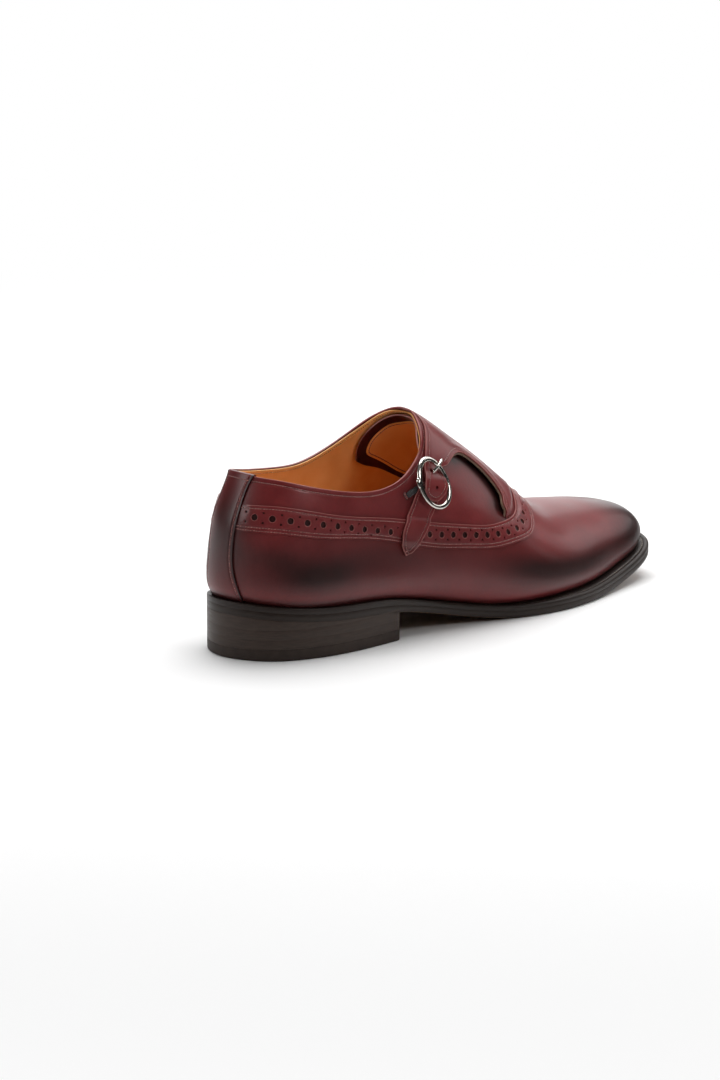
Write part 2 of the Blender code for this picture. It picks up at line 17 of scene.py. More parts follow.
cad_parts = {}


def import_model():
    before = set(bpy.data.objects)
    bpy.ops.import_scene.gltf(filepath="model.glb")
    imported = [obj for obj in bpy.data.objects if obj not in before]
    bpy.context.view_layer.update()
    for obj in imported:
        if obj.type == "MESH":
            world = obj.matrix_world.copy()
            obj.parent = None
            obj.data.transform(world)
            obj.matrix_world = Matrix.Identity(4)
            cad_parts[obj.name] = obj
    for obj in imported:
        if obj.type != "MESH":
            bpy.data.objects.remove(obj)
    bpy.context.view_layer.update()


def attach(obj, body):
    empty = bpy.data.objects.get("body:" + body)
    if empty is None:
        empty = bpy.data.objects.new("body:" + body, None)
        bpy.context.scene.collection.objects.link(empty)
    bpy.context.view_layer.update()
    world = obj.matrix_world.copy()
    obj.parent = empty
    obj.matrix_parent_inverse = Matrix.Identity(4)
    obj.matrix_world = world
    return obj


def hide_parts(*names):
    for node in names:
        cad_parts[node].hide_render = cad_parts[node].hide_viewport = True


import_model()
bpy.ops.object.select_all(action='DESELECT')


# The stand: a white sweep under the shoe, a long lens behind the heel on the outer side, and
# soft boxes. It holds the node and colour functions, which every finish below uses.
CAMERA_PLACE = (-1.92917, 1.91675, 0.68805)
CAMERA_AIM = (0.69958, -0.67558, -0.23277)
CAMERA_LENS = 175.4
DARK_PAPER = (0.07, 0.27)
DARK_SIDE = (0.25, -0.25)
FADE = (0.35, 1.0)

camera = bpy.data.objects.new("camera", bpy.data.cameras.new("camera"))
bpy.context.collection.objects.link(camera)
camera.location = CAMERA_PLACE
camera.rotation_euler = Vector(CAMERA_AIM).to_track_quat('-Z', 'Y').to_euler()
camera.data.lens = CAMERA_LENS
camera.data.sensor_width = 36.0
bpy.context.scene.camera = camera
bpy.context.scene.view_settings.view_transform = 'Standard'


def colour(code):
    """Linear colour with alpha of an sRGB hex code."""
    values = [int(code[i:i + 2], 16) / 255 for i in (0, 2, 4)]
    linear = [v / 12.92 if v <= 0.04045 else ((v + 0.055) / 1.055) ** 2.4 for v in values]
    return (*linear, 1.0)


def add(tree, kind, inputs=(), stops=(), **settings):
    """New shader node: its settings, its inputs, each a value or the socket that feeds it, and
    for a ramp its stops, each a position and a hex code."""
    made = tree.nodes.new("ShaderNode" + kind)
    for name, value in settings.items():
        setattr(made, name, value)
    for key, value in dict(inputs).items():
        if isinstance(value, bpy.types.NodeSocket):
            tree.links.new(value, made.inputs[key])
        else:
            made.inputs[key].default_value = value
    if stops:
        elements = made.color_ramp.elements
        elements[0].position, elements[1].position = stops[0][0], stops[-1][0]
        elements[0].color, elements[1].color = colour(stops[0][1]), colour(stops[-1][1])
        for position, shade in stops[1:-1]:
            elements.new(position).color = colour(shade)
    return made


def new_material(name, principled):
    """Material with a Principled shader whose sockets start at the given values."""
    made = bpy.data.materials.new(name)
    made.use_nodes = True
    shader = made.node_tree.nodes["Principled BSDF"]
    for key, value in principled.items():
        shader.inputs[key].default_value = value
    return made, made.node_tree, shader


bpy.ops.mesh.primitive_plane_add(size=60.0)
floor = bpy.context.object
floor.name = "white_sweep"
paper, tree, shader = new_material("matt_white_paper", {"Roughness": 0.9})
place = add(tree, "TexCoord").outputs["Object"]
tooth = add(tree, "TexNoise", {"Vector": place, "Scale": 40.0, "Detail": 3.0})
shade = add(tree, "ValToRGB", {"Fac": tooth.outputs["Fac"]}, [(0.0, "f4f4f4"), (1.0, "fafafa")])
# In reflections the paper goes dark beyond the shoe's outer side, as it does towards the dark
# end of a real sweep; the camera sees one even tone, which fades to white round the shoe.
away = add(tree, "VectorMath", {0: place}, operation='LENGTH').outputs["Value"]
far = add(tree, "MapRange", {0: away, 1: DARK_PAPER[0], 2: DARK_PAPER[1]},
          interpolation_type='SMOOTHSTEP')
path = add(tree, "LightPath")
seen = path.outputs["Is Camera Ray"]
sideways = add(tree, "SeparateXYZ", {0: place}).outputs["X"]
outer = add(tree, "MapRange", {0: sideways, 1: DARK_SIDE[0], 2: DARK_SIDE[1]})
shadowy = add(tree, "Math", {0: far.outputs[0], 1: outer.outputs[0]}, operation='MULTIPLY')
glossy = path.outputs["Is Glossy Ray"]
mirrored = add(tree, "Math", {0: shadowy.outputs[0], 1: glossy}, operation='MULTIPLY')
spread_out = add(tree, "Mix", {0: mirrored.outputs[0], 6: shade.outputs["Color"], 7: colour("1a1414")},
                 data_type='RGBA')
near_paper = add(tree, "Mix", {0: seen, 6: spread_out.outputs[2], 7: colour("e4e4e4")},
                 data_type='RGBA')
tree.links.new(near_paper.outputs[2], shader.inputs["Base Color"])
fade = add(tree, "MapRange", {0: away, 1: FADE[0], 2: FADE[1]}, interpolation_type='SMOOTHSTEP')
lit = add(tree, "Math", {0: fade.outputs[0], 1: seen}, operation='MULTIPLY')
glow = add(tree, "Emission", {"Color": colour("ffffff"), "Strength": 1.0})
blend = add(tree, "MixShader", {0: lit.outputs[0], 1: shader.outputs[0], 2: glow.outputs[0]})
tree.links.new(blend.outputs[0], tree.nodes["Material Output"].inputs["Surface"])
floor.data.materials.append(paper)

studio = bpy.data.worlds.new("studio")
bpy.context.scene.world = studio
studio.use_nodes = True
tree = studio.node_tree
background = tree.nodes["Background"]
direction = add(tree, "TexCoord").outputs["Generated"]
height = add(tree, "SeparateXYZ", {0: direction}).outputs["Z"]
WALL_STOPS = [(0.0, "ffffff"), (0.02, "161515"), (0.30, "282626"), (0.75, "707070"), (1.0, "888888")]
wall = add(tree, "ValToRGB", {"Fac": height}, WALL_STOPS)
seen = add(tree, "LightPath").outputs["Is Camera Ray"]
shown = add(tree, "Mix", {0: seen, 6: wall.outputs["Color"], 7: colour("ffffff")}, data_type='RGBA')
tree.links.new(shown.outputs[2], background.inputs["Color"])

# name, place, aim, size, power in watts
SOFT_BOXES = [
    ("overhead", (0.30, -0.35, 1.45), (0.0, 0.0, 0.05), (1.6, 1.3), 34.0),
    ("beyond_the_toe", (1.40, -1.28, 0.92), (0.0, 0.0, 0.05), (1.6, 1.8), 15.0),
    ("ahead_of_the_toe", (-0.35, -1.95, 1.15), (0.0, 0.0, 0.05), (1.5, 0.9), 8.0),
    ("behind_heel", (0.75, 1.60, 0.75), (0.0, 0.05, 0.05), (0.4, 0.9), 7.0),
    ("outer_side", (-1.7, -0.3, 1.25), (0.0, 0.0, 0.05), (0.5, 0.6), 8.0),
]
for name, place, aim, size, power in SOFT_BOXES:
    lamp = bpy.data.lights.new(name, 'AREA')
    lamp.shape = 'RECTANGLE'
    lamp.size, lamp.size_y = size
    lamp.energy = power
    box = bpy.data.objects.new(name, lamp)
    box.location = place
    box.rotation_euler = (Vector(aim) - Vector(place)).to_track_quat('-Z', 'Y').to_euler()
    box.visible_camera = False
    bpy.context.collection.objects.link(box)


# The last and the leather laid on it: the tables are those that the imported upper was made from.
# They give a fine skin of places and normals, which every leather piece uses.
MM = 0.001
LENGTH = 300.0
CENTRE_V = -0.5
TUCK_HEIGHT = 2.6
LEVELS = (0.20, 0.45, 0.72)
GIRTH = 115.0
THROAT = 146.0
LAST = np.array([
    # u    lateral medial z    top_u top_v top_z  | lateral: tuck low mid high | medial: same
    [3.0, -3.0, 3.0, 30.9, 26.0, -2.0, 122.0, 1.3, 2.6, -0.5, -10.0, 1.3, 2.6, -0.5, -10.0],
    [13.0, 21.5, 24.0, 29.4, 31.0, -1.5, 121.0, 1.3, 2.6, -0.6, -9.3, 1.3, 2.6, -1.2, -9.8],
    [45.0, 34.0, 32.8, 26.1, 47.0, -0.5, 121.0, 1.3, 2.2, -0.9, -7.8, 1.3, 2.6, -0.5, -7.5],
    [75.0, 35.0, 31.0, 24.2, 75.0, -0.8, 120.0, 1.6, 2.6, -0.8, -7.4, 2.0, 4.0, 0.8, -5.2],
    [105.0, 34.2, 28.5, 19.4, 105.0, -1.5, 118.0, 2.6, 5.2, 1.4, -6.7, 3.0, 6.4, 3.3, -3.4],
    [130.0, 36.0, 28.5, 13.8, 130.0, -2.1, 112.0, 3.0, 6.8, 2.3, -8.7, 3.3, 7.9, 4.8, -4.0],
    [150.0, 40.0, 31.5, 9.9, 150.0, -2.9, 99.3, 3.0, 6.4, 1.2, -11.4, 3.3, 7.5, 4.6, -6.9],
    [170.0, 44.3, 37.5, 8.0, 170.0, -3.4, 85.0, 2.8, 5.0, -0.9, -14.5, 2.8, 6.0, 2.1, -11.6],
    [195.0, 46.0, 45.0, 7.5, 195.0, -3.4, 63.6, 2.6, 3.5, -1.9, -15.4, 2.4, 4.2, -1.3, -14.6],
    [215.0, 43.8, 47.5, 7.7, 215.0, -3.1, 50.0, 2.2, 2.6, -1.5, -13.1, 2.0, 3.0, -2.0, -13.5],
    [235.0, 39.4, 45.5, 8.8, 234.0, -2.6, 45.9, 1.9, 2.1, -1.2, -10.9, 1.8, 2.5, -2.1, -11.7],
    [258.0, 32.8, 39.0, 11.9, 249.0, -1.9, 43.8, 1.5, 1.7, -1.1, -9.5, 1.5, 2.1, -1.8, -9.7],
    [282.0, 24.8, 26.0, 17.4, 261.0, -0.8, 41.9, 1.2, 1.4, -1.1, -8.1, 1.2, 1.6, -1.5, -7.9],
    [291.0, 14.5, 14.0, 20.0, 264.0, -0.2, 41.3, 1.2, 1.4, -1.3, -7.6, 1.2, 1.5, -1.4, -7.5],
    [293.5, 0.0, 0.0, 20.8, 265.0, 0.0, 41.1, 1.2, 1.5, -1.4, -7.4, 1.2, 1.5, -1.4, -7.4],
])
TOPLINE_LATERAL = np.array([
    # s      g, the share of the way up the section
    [0.0, 0.690], [16.4, 0.676], [31.0, 0.647], [51.9, 0.589], [74.5, 0.539], [93.6, 0.535],
    [110.6, 0.585], [124.9, 0.675], [136.3, 0.799], [141.0, 0.900], [THROAT, 1.0],
])
TOPLINE_MEDIAL = np.array([
    # s      g
    [0.0, 0.690], [16.4, 0.678], [31.0, 0.655], [54.5, 0.604], [75.0, 0.582], [90.0, 0.596],
    [104.0, 0.648], [121.3, 0.749], [132.0, 0.834], [139.0, 0.915], [THROAT, 1.0],
])
# Soft creases and hollows of worn leather
CREASES = np.array([
    # s      c      half length, half width, turn, height
    [62.0, 0.440, 9.0, 2.2, 0.35, -0.22],
    [70.0, 0.462, 8.0, 1.8, 0.25, 0.16],
    [52.0, 0.455, 7.0, 2.0, 0.45, -0.18],
    [96.0, 0.560, 16.0, 5.0, 0.20, -0.35],
    [150.0, 0.545, 13.0, 4.5, -0.35, 0.30],
    [112.0, 0.850, 30.0, 8.0, 0.00, -0.45],
    [26.0, 0.700, 14.0, 9.0, 0.10, 0.30],
    [205.0, 0.700, 16.0, 5.0, 0.50, -0.30],
    [214.0, -0.420, 13.0, 4.5, 0.70, -0.18],
    [226.0, 0.330, 15.0, 5.5, -0.80, -0.14],
    [232.0, 0.120, 12.0, 5.0, -1.10, -0.10],
    [70.0, -0.500, 10.0, 2.5, -0.30, -0.25],
    [120.0, -0.520, 15.0, 5.0, -0.20, -0.40],
])
S_STEP = 0.5
S_BEYOND = 30.0
HALF_COLUMNS = 180
SMOOTHING = 3.0


def spline(x, y, start=None, end=None):
    """Cubic spline through rows y at x, with end slopes if given, else straight ends."""
    x = np.asarray(x, float)
    y = np.asarray(y, float).reshape(len(x), -1)
    n = len(x)
    h = np.diff(x)
    matrix = np.zeros((n, n))
    right = np.zeros(y.shape)
    for i in range(1, n - 1):
        matrix[i, i - 1:i + 2] = (1 / h[i - 1], 2 * (1 / h[i - 1] + 1 / h[i]), 1 / h[i])
        right[i] = 3 * ((y[i] - y[i - 1]) / h[i - 1] ** 2 + (y[i + 1] - y[i]) / h[i] ** 2)
    matrix[0, :2] = (2, 1) if start is None else (1, 0)
    right[0] = 3 * (y[1] - y[0]) / h[0] if start is None else start
    matrix[-1, -2:] = (1, 2) if end is None else (0, 1)
    right[-1] = 3 * (y[-1] - y[-2]) / h[-1] if end is None else end
    slope = np.linalg.solve(matrix, right)

    def at(t):
        t = np.atleast_1d(np.asarray(t, float))
        i = np.clip(np.searchsorted(x, t) - 1, 0, n - 2)
        w = ((t - x[i]) / h[i])[:, None]
        wide = h[i][:, None]
        return ((2 * w ** 3 - 3 * w ** 2 + 1) * y[i] + (w ** 3 - 2 * w ** 2 + w) * wide * slope[i]
                + (3 * w ** 2 - 2 * w ** 3) * y[i + 1] + (w ** 3 - w ** 2) * wide * slope[i + 1])
    return at


def run_of(places):
    """Distance from the start of a path to each of its places."""
    return np.r_[0, np.cumsum(np.linalg.norm(np.diff(places, axis=0), axis=1))]


def places_at(stops, run, places):
    """Places at some distances along a path."""
    return np.stack([np.interp(stops, run, column) for column in np.transpose(places)], axis=-1)


def round_the_edge(rows):
    """Spline of a table whose half widths leave and reach the shoe's line squarely."""
    middle = 0.5 * (rows[:, 1] + rows[:, 2])
    knots = run_of(np.c_[rows[:, 0], middle])
    start = np.zeros(rows.shape[1])
    start[1:3] = 1.0
    return spline(knots, rows, start, -start), knots[-1]


last_row, FEATHER_LENGTH = round_the_edge(LAST)
ridge = spline(LAST[:, 4], LAST[:, 5:7])


def half_section(row, v, offsets, shares):
    """Places up one side of the last's section at a row of its table."""
    u, z, top_u = row[0], row[3], row[4]
    (top_v, top_z), = ridge(top_u)
    out = np.array([u - top_u, v - top_v])
    radius = np.linalg.norm(out)
    out /= radius
    rise = top_z - z - TUCK_HEIGHT
    radii = np.r_[radius, radius + offsets, 0.0]
    heights = np.r_[z, z + TUCK_HEIGHT + rise * np.r_[0.0, LEVELS], top_z]
    points = np.c_[radii, heights]
    chords = run_of(points)
    slope = (ridge(top_u + 0.01) - ridge(top_u - 0.01))[0, 1] / 0.02
    tangent = np.array([-1.0, -slope * out[0]])
    profile = spline(chords, points, None, tangent / np.linalg.norm(tangent))
    r, height = profile(shares * chords[-1]).T
    return np.c_[top_u + out[0] * r, top_v + out[1] * r, height]


def across_last(s):
    """Places across the last at s, inner feather line to outer; past heel or toe it wraps round."""
    wrapped = s < 0 or s > FEATHER_LENGTH
    s = -s if s < 0 else 2 * FEATHER_LENGTH - s if s > FEATHER_LENGTH else s
    row, = last_row(s)
    shares = np.linspace(0, 1, HALF_COLUMNS + 1)
    lateral = half_section(row, row[1], row[7:11], shares)
    medial = half_section(row, -row[2], row[11:15], shares)
    places = np.r_[medial[:-1], lateral[::-1]]
    return places[::-1] if wrapped else places


def normals_of(grid):
    """Outward normals of a grid of places."""
    along = np.gradient(grid, axis=0)
    over = np.gradient(grid, axis=1)
    normal = np.cross(along, over)
    return normal / np.linalg.norm(normal, axis=2, keepdims=True)


grid_s = np.arange(-S_BEYOND, FEATHER_LENGTH + S_BEYOND, S_STEP)
skin_grid = np.array([across_last(s) for s in grid_s])
reach = int(3 * SMOOTHING / S_STEP)
weights = np.exp(-0.5 * (np.arange(-reach, reach + 1) * S_STEP / SMOOTHING) ** 2)
weights /= weights.sum()
padded = np.pad(skin_grid, ((reach, reach), (0, 0), (0, 0)), 'reflect', reflect_type='odd')
skin_grid = sum(w * padded[k:k + len(grid_s)] for k, w in enumerate(weights))
mesh_s, mesh_c = np.meshgrid(grid_s, np.linspace(-1, 1, 2 * HALF_COLUMNS + 1), indexing='ij')
crease_height = np.zeros(mesh_s.shape)
for s, c, long, wide, turn, height in CREASES:
    x, y = mesh_s - s, (mesh_c - c) * GIRTH
    ahead = (x * np.cos(turn) + y * np.sin(turn)) / long
    aside = (y * np.cos(turn) - x * np.sin(turn)) / wide
    crease_height += height * np.exp(-ahead ** 2 - aside ** 2)
skin_grid = skin_grid + normals_of(skin_grid) * crease_height[..., None]
normal_grid = normals_of(skin_grid)


def skin(s, c, lift=0.0):
    """Shoe places at lift above the outer face of the upper, one row for each s and c."""
    s, c, lift = np.broadcast_arrays(np.asarray(s, float), np.asarray(c, float), lift)
    a = (s - grid_s[0]) / S_STEP
    b = (c + 1) * HALF_COLUMNS
    i = np.clip(a.astype(int), 0, len(grid_s) - 2)
    j = np.clip(b.astype(int), 0, 2 * HALF_COLUMNS - 1)
    fa, fb = (a - i)[..., None], (b - j)[..., None]

    def blend(grid):
        return ((1 - fa) * ((1 - fb) * grid[i, j] + fb * grid[i, j + 1])
                + fa * ((1 - fb) * grid[i + 1, j] + fb * grid[i + 1, j + 1]))
    normal = blend(normal_grid)
    normal /= np.linalg.norm(normal, axis=-1, keepdims=True)
    return blend(skin_grid) + normal * lift[..., None]


def world(places):
    """World places in metres of rows of shoe places (u, v, z) in millimetres."""
    u, v, z = np.moveaxis(np.asarray(places, float), -1, 0)
    return np.stack([CENTRE_V - v, LENGTH / 2 - u, z], axis=-1) * MM


def smoothstep(low, high, value):
    """Eased share of the way from low to high, either of which may be the greater."""
    share = np.clip((value - low) / (high - low), 0.0, 1.0)
    return share * share * (3 - 2 * share)


# The body of the upper: outer calf from the feather line up to the collar, 1.2 mm thick and
# shaped wet on the last. Its inner side ends under the band, where the strap quarter takes
# over. It also holds the calf's finish and the functions that lay leather on the last.
LATERAL = 1
MEDIAL = -1
TOPLINES = ((LATERAL, TOPLINE_LATERAL), (MEDIAL, TOPLINE_MEDIAL))
CALF_THICKNESS = 1.2
BAND_TOP = [
    # s      c, upper edge of the punched band on the outer side; the inner side mirrors it
    (2.0, 0.467), (10.0, 0.469), (25.8, 0.478), (42.0, 0.510), (63.0, 0.563), (96.0, 0.606),
    (130.7, 0.626), (151.1, 0.613), (164.9, 0.591), (174.5, 0.562), (183.6, 0.522),
    (189.1, 0.478), (193.0, 0.429), (198.8, 0.339), (206.0, 0.222), (213.0, 0.100), (217.0, 0.0),
]


def across(knots):
    """Knots on the outer side followed by their mirror on the inner side."""
    return knots + [(s, -c) for s, c in knots[-2::-1]]


def trace(knots, step=0.3):
    """Smooth path through pattern knots, as places a step apart over the leather."""
    knots = np.asarray(knots, float)
    run = run_of(knots * (1.0, GIRTH))
    path = spline(run, knots)(np.linspace(0, run[-1], max(3, int(8 * run[-1]))))
    return evenly(path, step)


def evenly(path, step):
    """Places along a path, a step apart over the leather."""
    run = run_of(skin(*path.T))
    count = max(1, round(run[-1] / step))
    return places_at(np.arange(count + 1) * run[-1] / count, run, path)


def stretch(s, c):
    """Millimetres over the leather for a step in s and for a step in c, as vectors."""
    per_s = (skin(s + 0.25, c) - skin(s - 0.25, c)) / 0.5
    return per_s, (skin(s, c + 0.004) - skin(s, c - 0.004)) / 0.008


def moved(place, way):
    """Pattern places moved by a vector in millimetres that lies in the leather."""
    per_s, per_c = stretch(place[..., 0], place[..., 1])
    a, b, d = (np.sum(x * y, axis=-1) for x, y in ((per_s, per_s), (per_s, per_c), (per_c, per_c)))
    e, f = np.sum(per_s * way, axis=-1), np.sum(per_c * way, axis=-1)
    det = a * d - b * b
    return place + np.stack([(e * d - f * b) / det, (a * f - b * e) / det], axis=-1)


def beside(path, distance):
    """Path moved sideways over the leather, to the left of its own direction if positive."""
    places = skin(*path.T)
    tangent = np.gradient(places, axis=0)
    normal = skin(*path.T, 1.0) - places
    side = np.cross(normal, tangent)
    side /= np.linalg.norm(side, axis=1, keepdims=True)
    return moved(path, side * distance)


def height_at(knots, s):
    """c of a border, given as knots whose s only grows, at s."""
    knots = np.asarray(knots)
    return np.interp(s, knots[:, 0], knots[:, 1])


def tree_of(places):
    """Search tree of rows of coordinates."""
    tree = KDTree(len(places))
    for k, place in enumerate(places):
        tree.insert(place, k)
    tree.balance()
    return tree


def gaps(places, others):
    """Distance from each place to the nearest of some others."""
    tree = tree_of(others)
    return np.array([tree.find(place)[2] for place in places])


def distance_to(path, s, c):
    """Distance in millimetres over the leather from each place to a path."""
    return gaps(skin(s, c).reshape(-1, 3), skin(*path.T)).reshape(np.shape(s))


def lay(name, places, faces):
    """New object from shoe places and faces that run anticlockwise on the pattern."""
    mesh = bpy.data.meshes.new(name)
    mesh.from_pydata(world(places).tolist(), [], [face[::-1] for face in faces])
    mesh.update()
    piece = bpy.data.objects.new(name, mesh)
    bpy.context.collection.objects.link(piece)
    return piece


def pick(piece):
    """Makes a piece the only one selected."""
    bpy.ops.object.select_all(action='DESELECT')
    piece.select_set(True)
    bpy.context.view_layer.objects.active = piece


def apply(piece, kind, **settings):
    """Adds a modifier with the given settings and applies it."""
    pick(piece)
    made = piece.modifiers.new(kind.title(), kind)
    for name, value in settings.items():
        setattr(made, name, value)
    bpy.ops.object.modifier_apply(modifier=made.name)


def smooth(piece, corner=50.0):
    """Shades a piece smooth, apart from edges sharper than corner degrees."""
    pick(piece)
    bpy.ops.object.shade_smooth_by_angle(angle=np.radians(corner))


def thicken(piece, thickness, offset, bevel):
    """Gives a sheet its wall and rounds its cut edges."""
    apply(piece, 'SOLIDIFY', thickness=thickness * MM, offset=offset)
    if bevel:
        apply(piece, 'BEVEL', width=bevel * MM, segments=2, limit_method='ANGLE',
              angle_limit=np.radians(50.0), harden_normals=False)
    smooth(piece, 40.0)


@contextmanager
def mesh_of(piece):
    """A piece's mesh to work on, put back at the end."""
    work = bmesh.new()
    work.from_mesh(piece.data)
    yield work
    work.to_mesh(piece.data)
    work.free()


def weld(piece, distance=0.02):
    """Joins a piece's points that lie within some millimetres."""
    with mesh_of(piece) as work:
        bmesh.ops.remove_doubles(work, verts=work.verts, dist=distance * MM)
        bmesh.ops.dissolve_degenerate(work, edges=work.edges, dist=0.001 * MM)


THINNED = 4
thin_grid = skin_grid[::THINNED, ::THINNED]
nearest = tree_of(thin_grid.reshape(-1, 3))


def pattern_of(piece):
    """Pattern places of a piece's points, and the points as shoe places."""
    count = len(piece.data.vertices)
    co = np.empty(3 * count)
    piece.data.vertices.foreach_get("co", co)
    x, y, z = co.reshape(-1, 3).T / MM
    places = np.c_[LENGTH / 2 - y, CENTRE_V - x, z]
    index = np.array([nearest.find(place)[1] for place in places])
    i, j = THINNED * np.array(np.divmod(index, thin_grid.shape[1]))
    found = np.c_[grid_s[i], j / HALF_COLUMNS - 1]
    s, c = moved(found, places - skin(*found.T)).T
    past = (s < 0) | (s > FEATHER_LENGTH)
    s = np.where(s < 0, -s, np.where(s > FEATHER_LENGTH, 2 * FEATHER_LENGTH - s, s))
    return np.c_[s, np.where(past, -c, c)], places


# Darkening of the calf: burnish at the toe; along the feather line, down the sides and in the table's
# patches it is painted shadow and painted dark reflection as well as burnish.
TOE_BURNISH = 1.05
FEATHER_SHADOW_AND_BURNISH = 0.8
SIDE_SHADE_AND_BURNISH = 0.16
BURNISH_AND_SHADE = np.array([
    # Where else the finish is darkened: partly burnish, partly painted shade and painted dark
    # reflections
    # s      c      reach_s reach_c strength
    [46.0, 0.86, 26.0, 0.09, 0.62],
    [46.0, -0.86, 26.0, 0.09, 0.62],
    [24.0, 0.74, 14.0, 0.07, 0.35],
    [24.0, -0.74, 14.0, 0.07, 0.35],
    [2.0, 0.60, 12.0, 0.32, 0.85],
    [2.0, -0.60, 12.0, 0.32, 0.85],
    [113.0, 0.50, 7.0, 0.05, 0.40],
    [84.0, 0.80, 66.0, 0.14, 0.50],
    [84.0, -0.80, 66.0, 0.14, 0.50],
    [184.0, 0.80, 24.0, 0.12, 0.50],
    [190.0, -0.79, 24.0, 0.12, 0.50],
    [212.0, 0.83, 26.0, 0.10, 0.62],
    [216.0, -0.82, 26.0, 0.10, 0.62],
    [241.0, 0.81, 26.0, 0.12, 0.55],
    [243.0, -0.80, 26.0, 0.12, 0.55],
    [272.0, 0.80, 26.0, 0.18, 0.50],
    [272.0, -0.80, 26.0, 0.18, 0.50],
])


def burnish_and_shade_at(s, c):
    """How far the finish is darkened, by burnish and by painted shade: burnish at the toe, painted
    contact shadow and burnish along the feather line, painted dark reflection and burnish low on the
    sides, and both at the counter.
    """
    s = np.abs(s)
    toe = smoothstep(264.0, 314.0, s) * (0.5 + 0.5 * smoothstep(0.1, 0.5, np.abs(c)))
    low_side = smoothstep(8.0, 40.0, s) * np.exp(-((np.abs(c) - 0.79) / 0.09) ** 2)
    dark = TOE_BURNISH * toe + FEATHER_SHADOW_AND_BURNISH * smoothstep(0.945, 1.0, np.abs(c))
    dark = dark + SIDE_SHADE_AND_BURNISH * low_side
    for at_s, at_c, reach_s, reach_c, strength in BURNISH_AND_SHADE:
        dark = dark + strength * np.exp(-((s - at_s) / reach_s) ** 2 - ((c - at_c) / reach_c) ** 2)
    return np.clip(dark, 0.0, 1.0)


def paint(piece, rims=(), width=0.9, shade_painted_edges=()):
    """Stores how dark each point is from burnish and painted shade, darker still where shade is painted
    along some edges, and how near it is to a rim.
    """
    pattern, places = pattern_of(piece)
    near = []
    for edges in (rims, shade_painted_edges):
        near.append(np.zeros(len(places)))
        if len(edges):
            away = gaps(places, np.concatenate(edges))
            near[-1] = 1 - smoothstep(0.35 * width, width, away)
    burnish_and_shade = np.clip(burnish_and_shade_at(*pattern.T) + near[1], 0.0, 1.0)
    for name, values in (("burnish_and_shade", burnish_and_shade), ("rim", near[0])):
        layer = piece.data.attributes.new(name, 'FLOAT', 'POINT')
        layer.data.foreach_set("value", values.astype(np.float32))


def finish(piece, material, slot, *nodes):
    """Gives a finished piece its material and its place in the frame."""
    piece.data.materials.clear()
    piece.data.materials.append(material)
    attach(piece, "root")
    if nodes:
        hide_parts(*nodes)


# Box calf, vegetable-dyed oxblood and hand burnished, then waxed: a tight smooth grain with a soft
# gloss, cloudy in colour, paler along every edge, and nearly black where it was burnished and where
# shade and dark reflections are painted on.
PORE = 0.45
CLOUD = 24.0
STREAK = 1.6


def calf_finish(name, body, light, dark, rim):
    """Burnished calf: its own tone and the light one in its clouds, dark where it is burnished and
    where shade is painted on, and the tone of its cut rims."""
    made, tree, shader = new_material(name, {
        "Roughness": 0.36, "Coat Weight": 0.18, "Coat Roughness": 0.18, "Coat IOR": 1.45,
        "Specular IOR Level": 0.30,
    })
    place = add(tree, "TexCoord").outputs["Object"]
    cloud = add(tree, "TexNoise", {"Vector": place, "Scale": 1 / (CLOUD * MM), "Detail": 4.0,
                                   "Roughness": 0.6}).outputs["Fac"]
    streak = add(tree, "TexNoise", {"Vector": place, "Scale": 1 / (STREAK * MM), "Detail": 3.0})
    tone = add(tree, "ValToRGB", {"Fac": cloud}, [(0.30, body), (0.72, light)])
    tone = add(tree, "Mix", {0: 0.16, 6: tone.outputs["Color"], 7: streak.outputs["Color"]},
               data_type='RGBA', blend_type='OVERLAY')
    darkness = add(tree, "Attribute", attribute_name="burnish_and_shade").outputs["Fac"]
    uneven = add(tree, "Math", {0: cloud, 1: 0.4, 2: 0.82}, operation='MULTIPLY_ADD')
    level = add(tree, "Math", {0: darkness, 1: uneven.outputs[0]}, operation='MULTIPLY',
                use_clamp=True)
    tone = add(tree, "Mix", {0: level.outputs[0], 6: tone.outputs[2], 7: colour(dark)},
               data_type='RGBA')
    rims = add(tree, "Attribute", attribute_name="rim").outputs["Fac"]
    worn = add(tree, "MapRange", {0: rims, 1: 0.25, 2: 1.0, 3: 0.0, 4: 0.8})
    tone = add(tree, "Mix", {0: worn.outputs[0], 6: tone.outputs[2], 7: colour(rim)},
               data_type='RGBA')
    tree.links.new(tone.outputs[2], shader.inputs["Base Color"])
    gloss = add(tree, "MapRange", {0: cloud, 1: 0.2, 2: 0.8, 3: 0.34, 4: 0.46})
    tree.links.new(gloss.outputs[0], shader.inputs["Roughness"])
    pores = add(tree, "TexVoronoi", {"Vector": place, "Scale": 1 / (PORE * MM)})
    grain = add(tree, "Bump", {"Strength": 0.26, "Distance": 0.05 * MM,
                               "Height": pores.outputs["Distance"]})
    waves = add(tree, "Bump", {"Strength": 0.10, "Distance": 0.4 * MM, "Height": streak.outputs["Fac"],
                               "Normal": grain.outputs[0]})
    tree.links.new(waves.outputs[0], shader.inputs["Normal"])
    return made


calf = calf_finish("burnished_oxblood_calf", "5e1b1c", "732728", "260a09", "a86c66")


def quads(count, wide, first=0, closed=False):
    """Faces between rows of places that follow one another in a list."""
    faces = []
    for low in range(first, first + (count - 1) * wide, wide):
        for j in range(wide if closed else wide - 1):
            k = (j + 1) % wide
            faces.append((low + j, low + k, low + wide + k, low + wide + j))
    return faces


def loft(name, s_places, shares, lift, low, drop):
    """Sheet round the last at lift, from c = 1 - low up to drop millimetres below the collar."""
    rows = len(shares)
    places = []
    faces = []
    for side, table in TOPLINES:
        top = spline(table[:, 0], table[:, 1], 0.0)
        made = quads(len(s_places), rows, len(places) * rows)
        faces += [face[::-1] for face in made] if side == MEDIAL else made
        for s in s_places:
            high = top(s)[0, 0] - drop / GIRTH if s < THROAT else 1.0
            g = low + (high - low) * shares
            places.append(skin(s, side * (1 - g), lift))
    return lay(name, np.concatenate(places), faces)


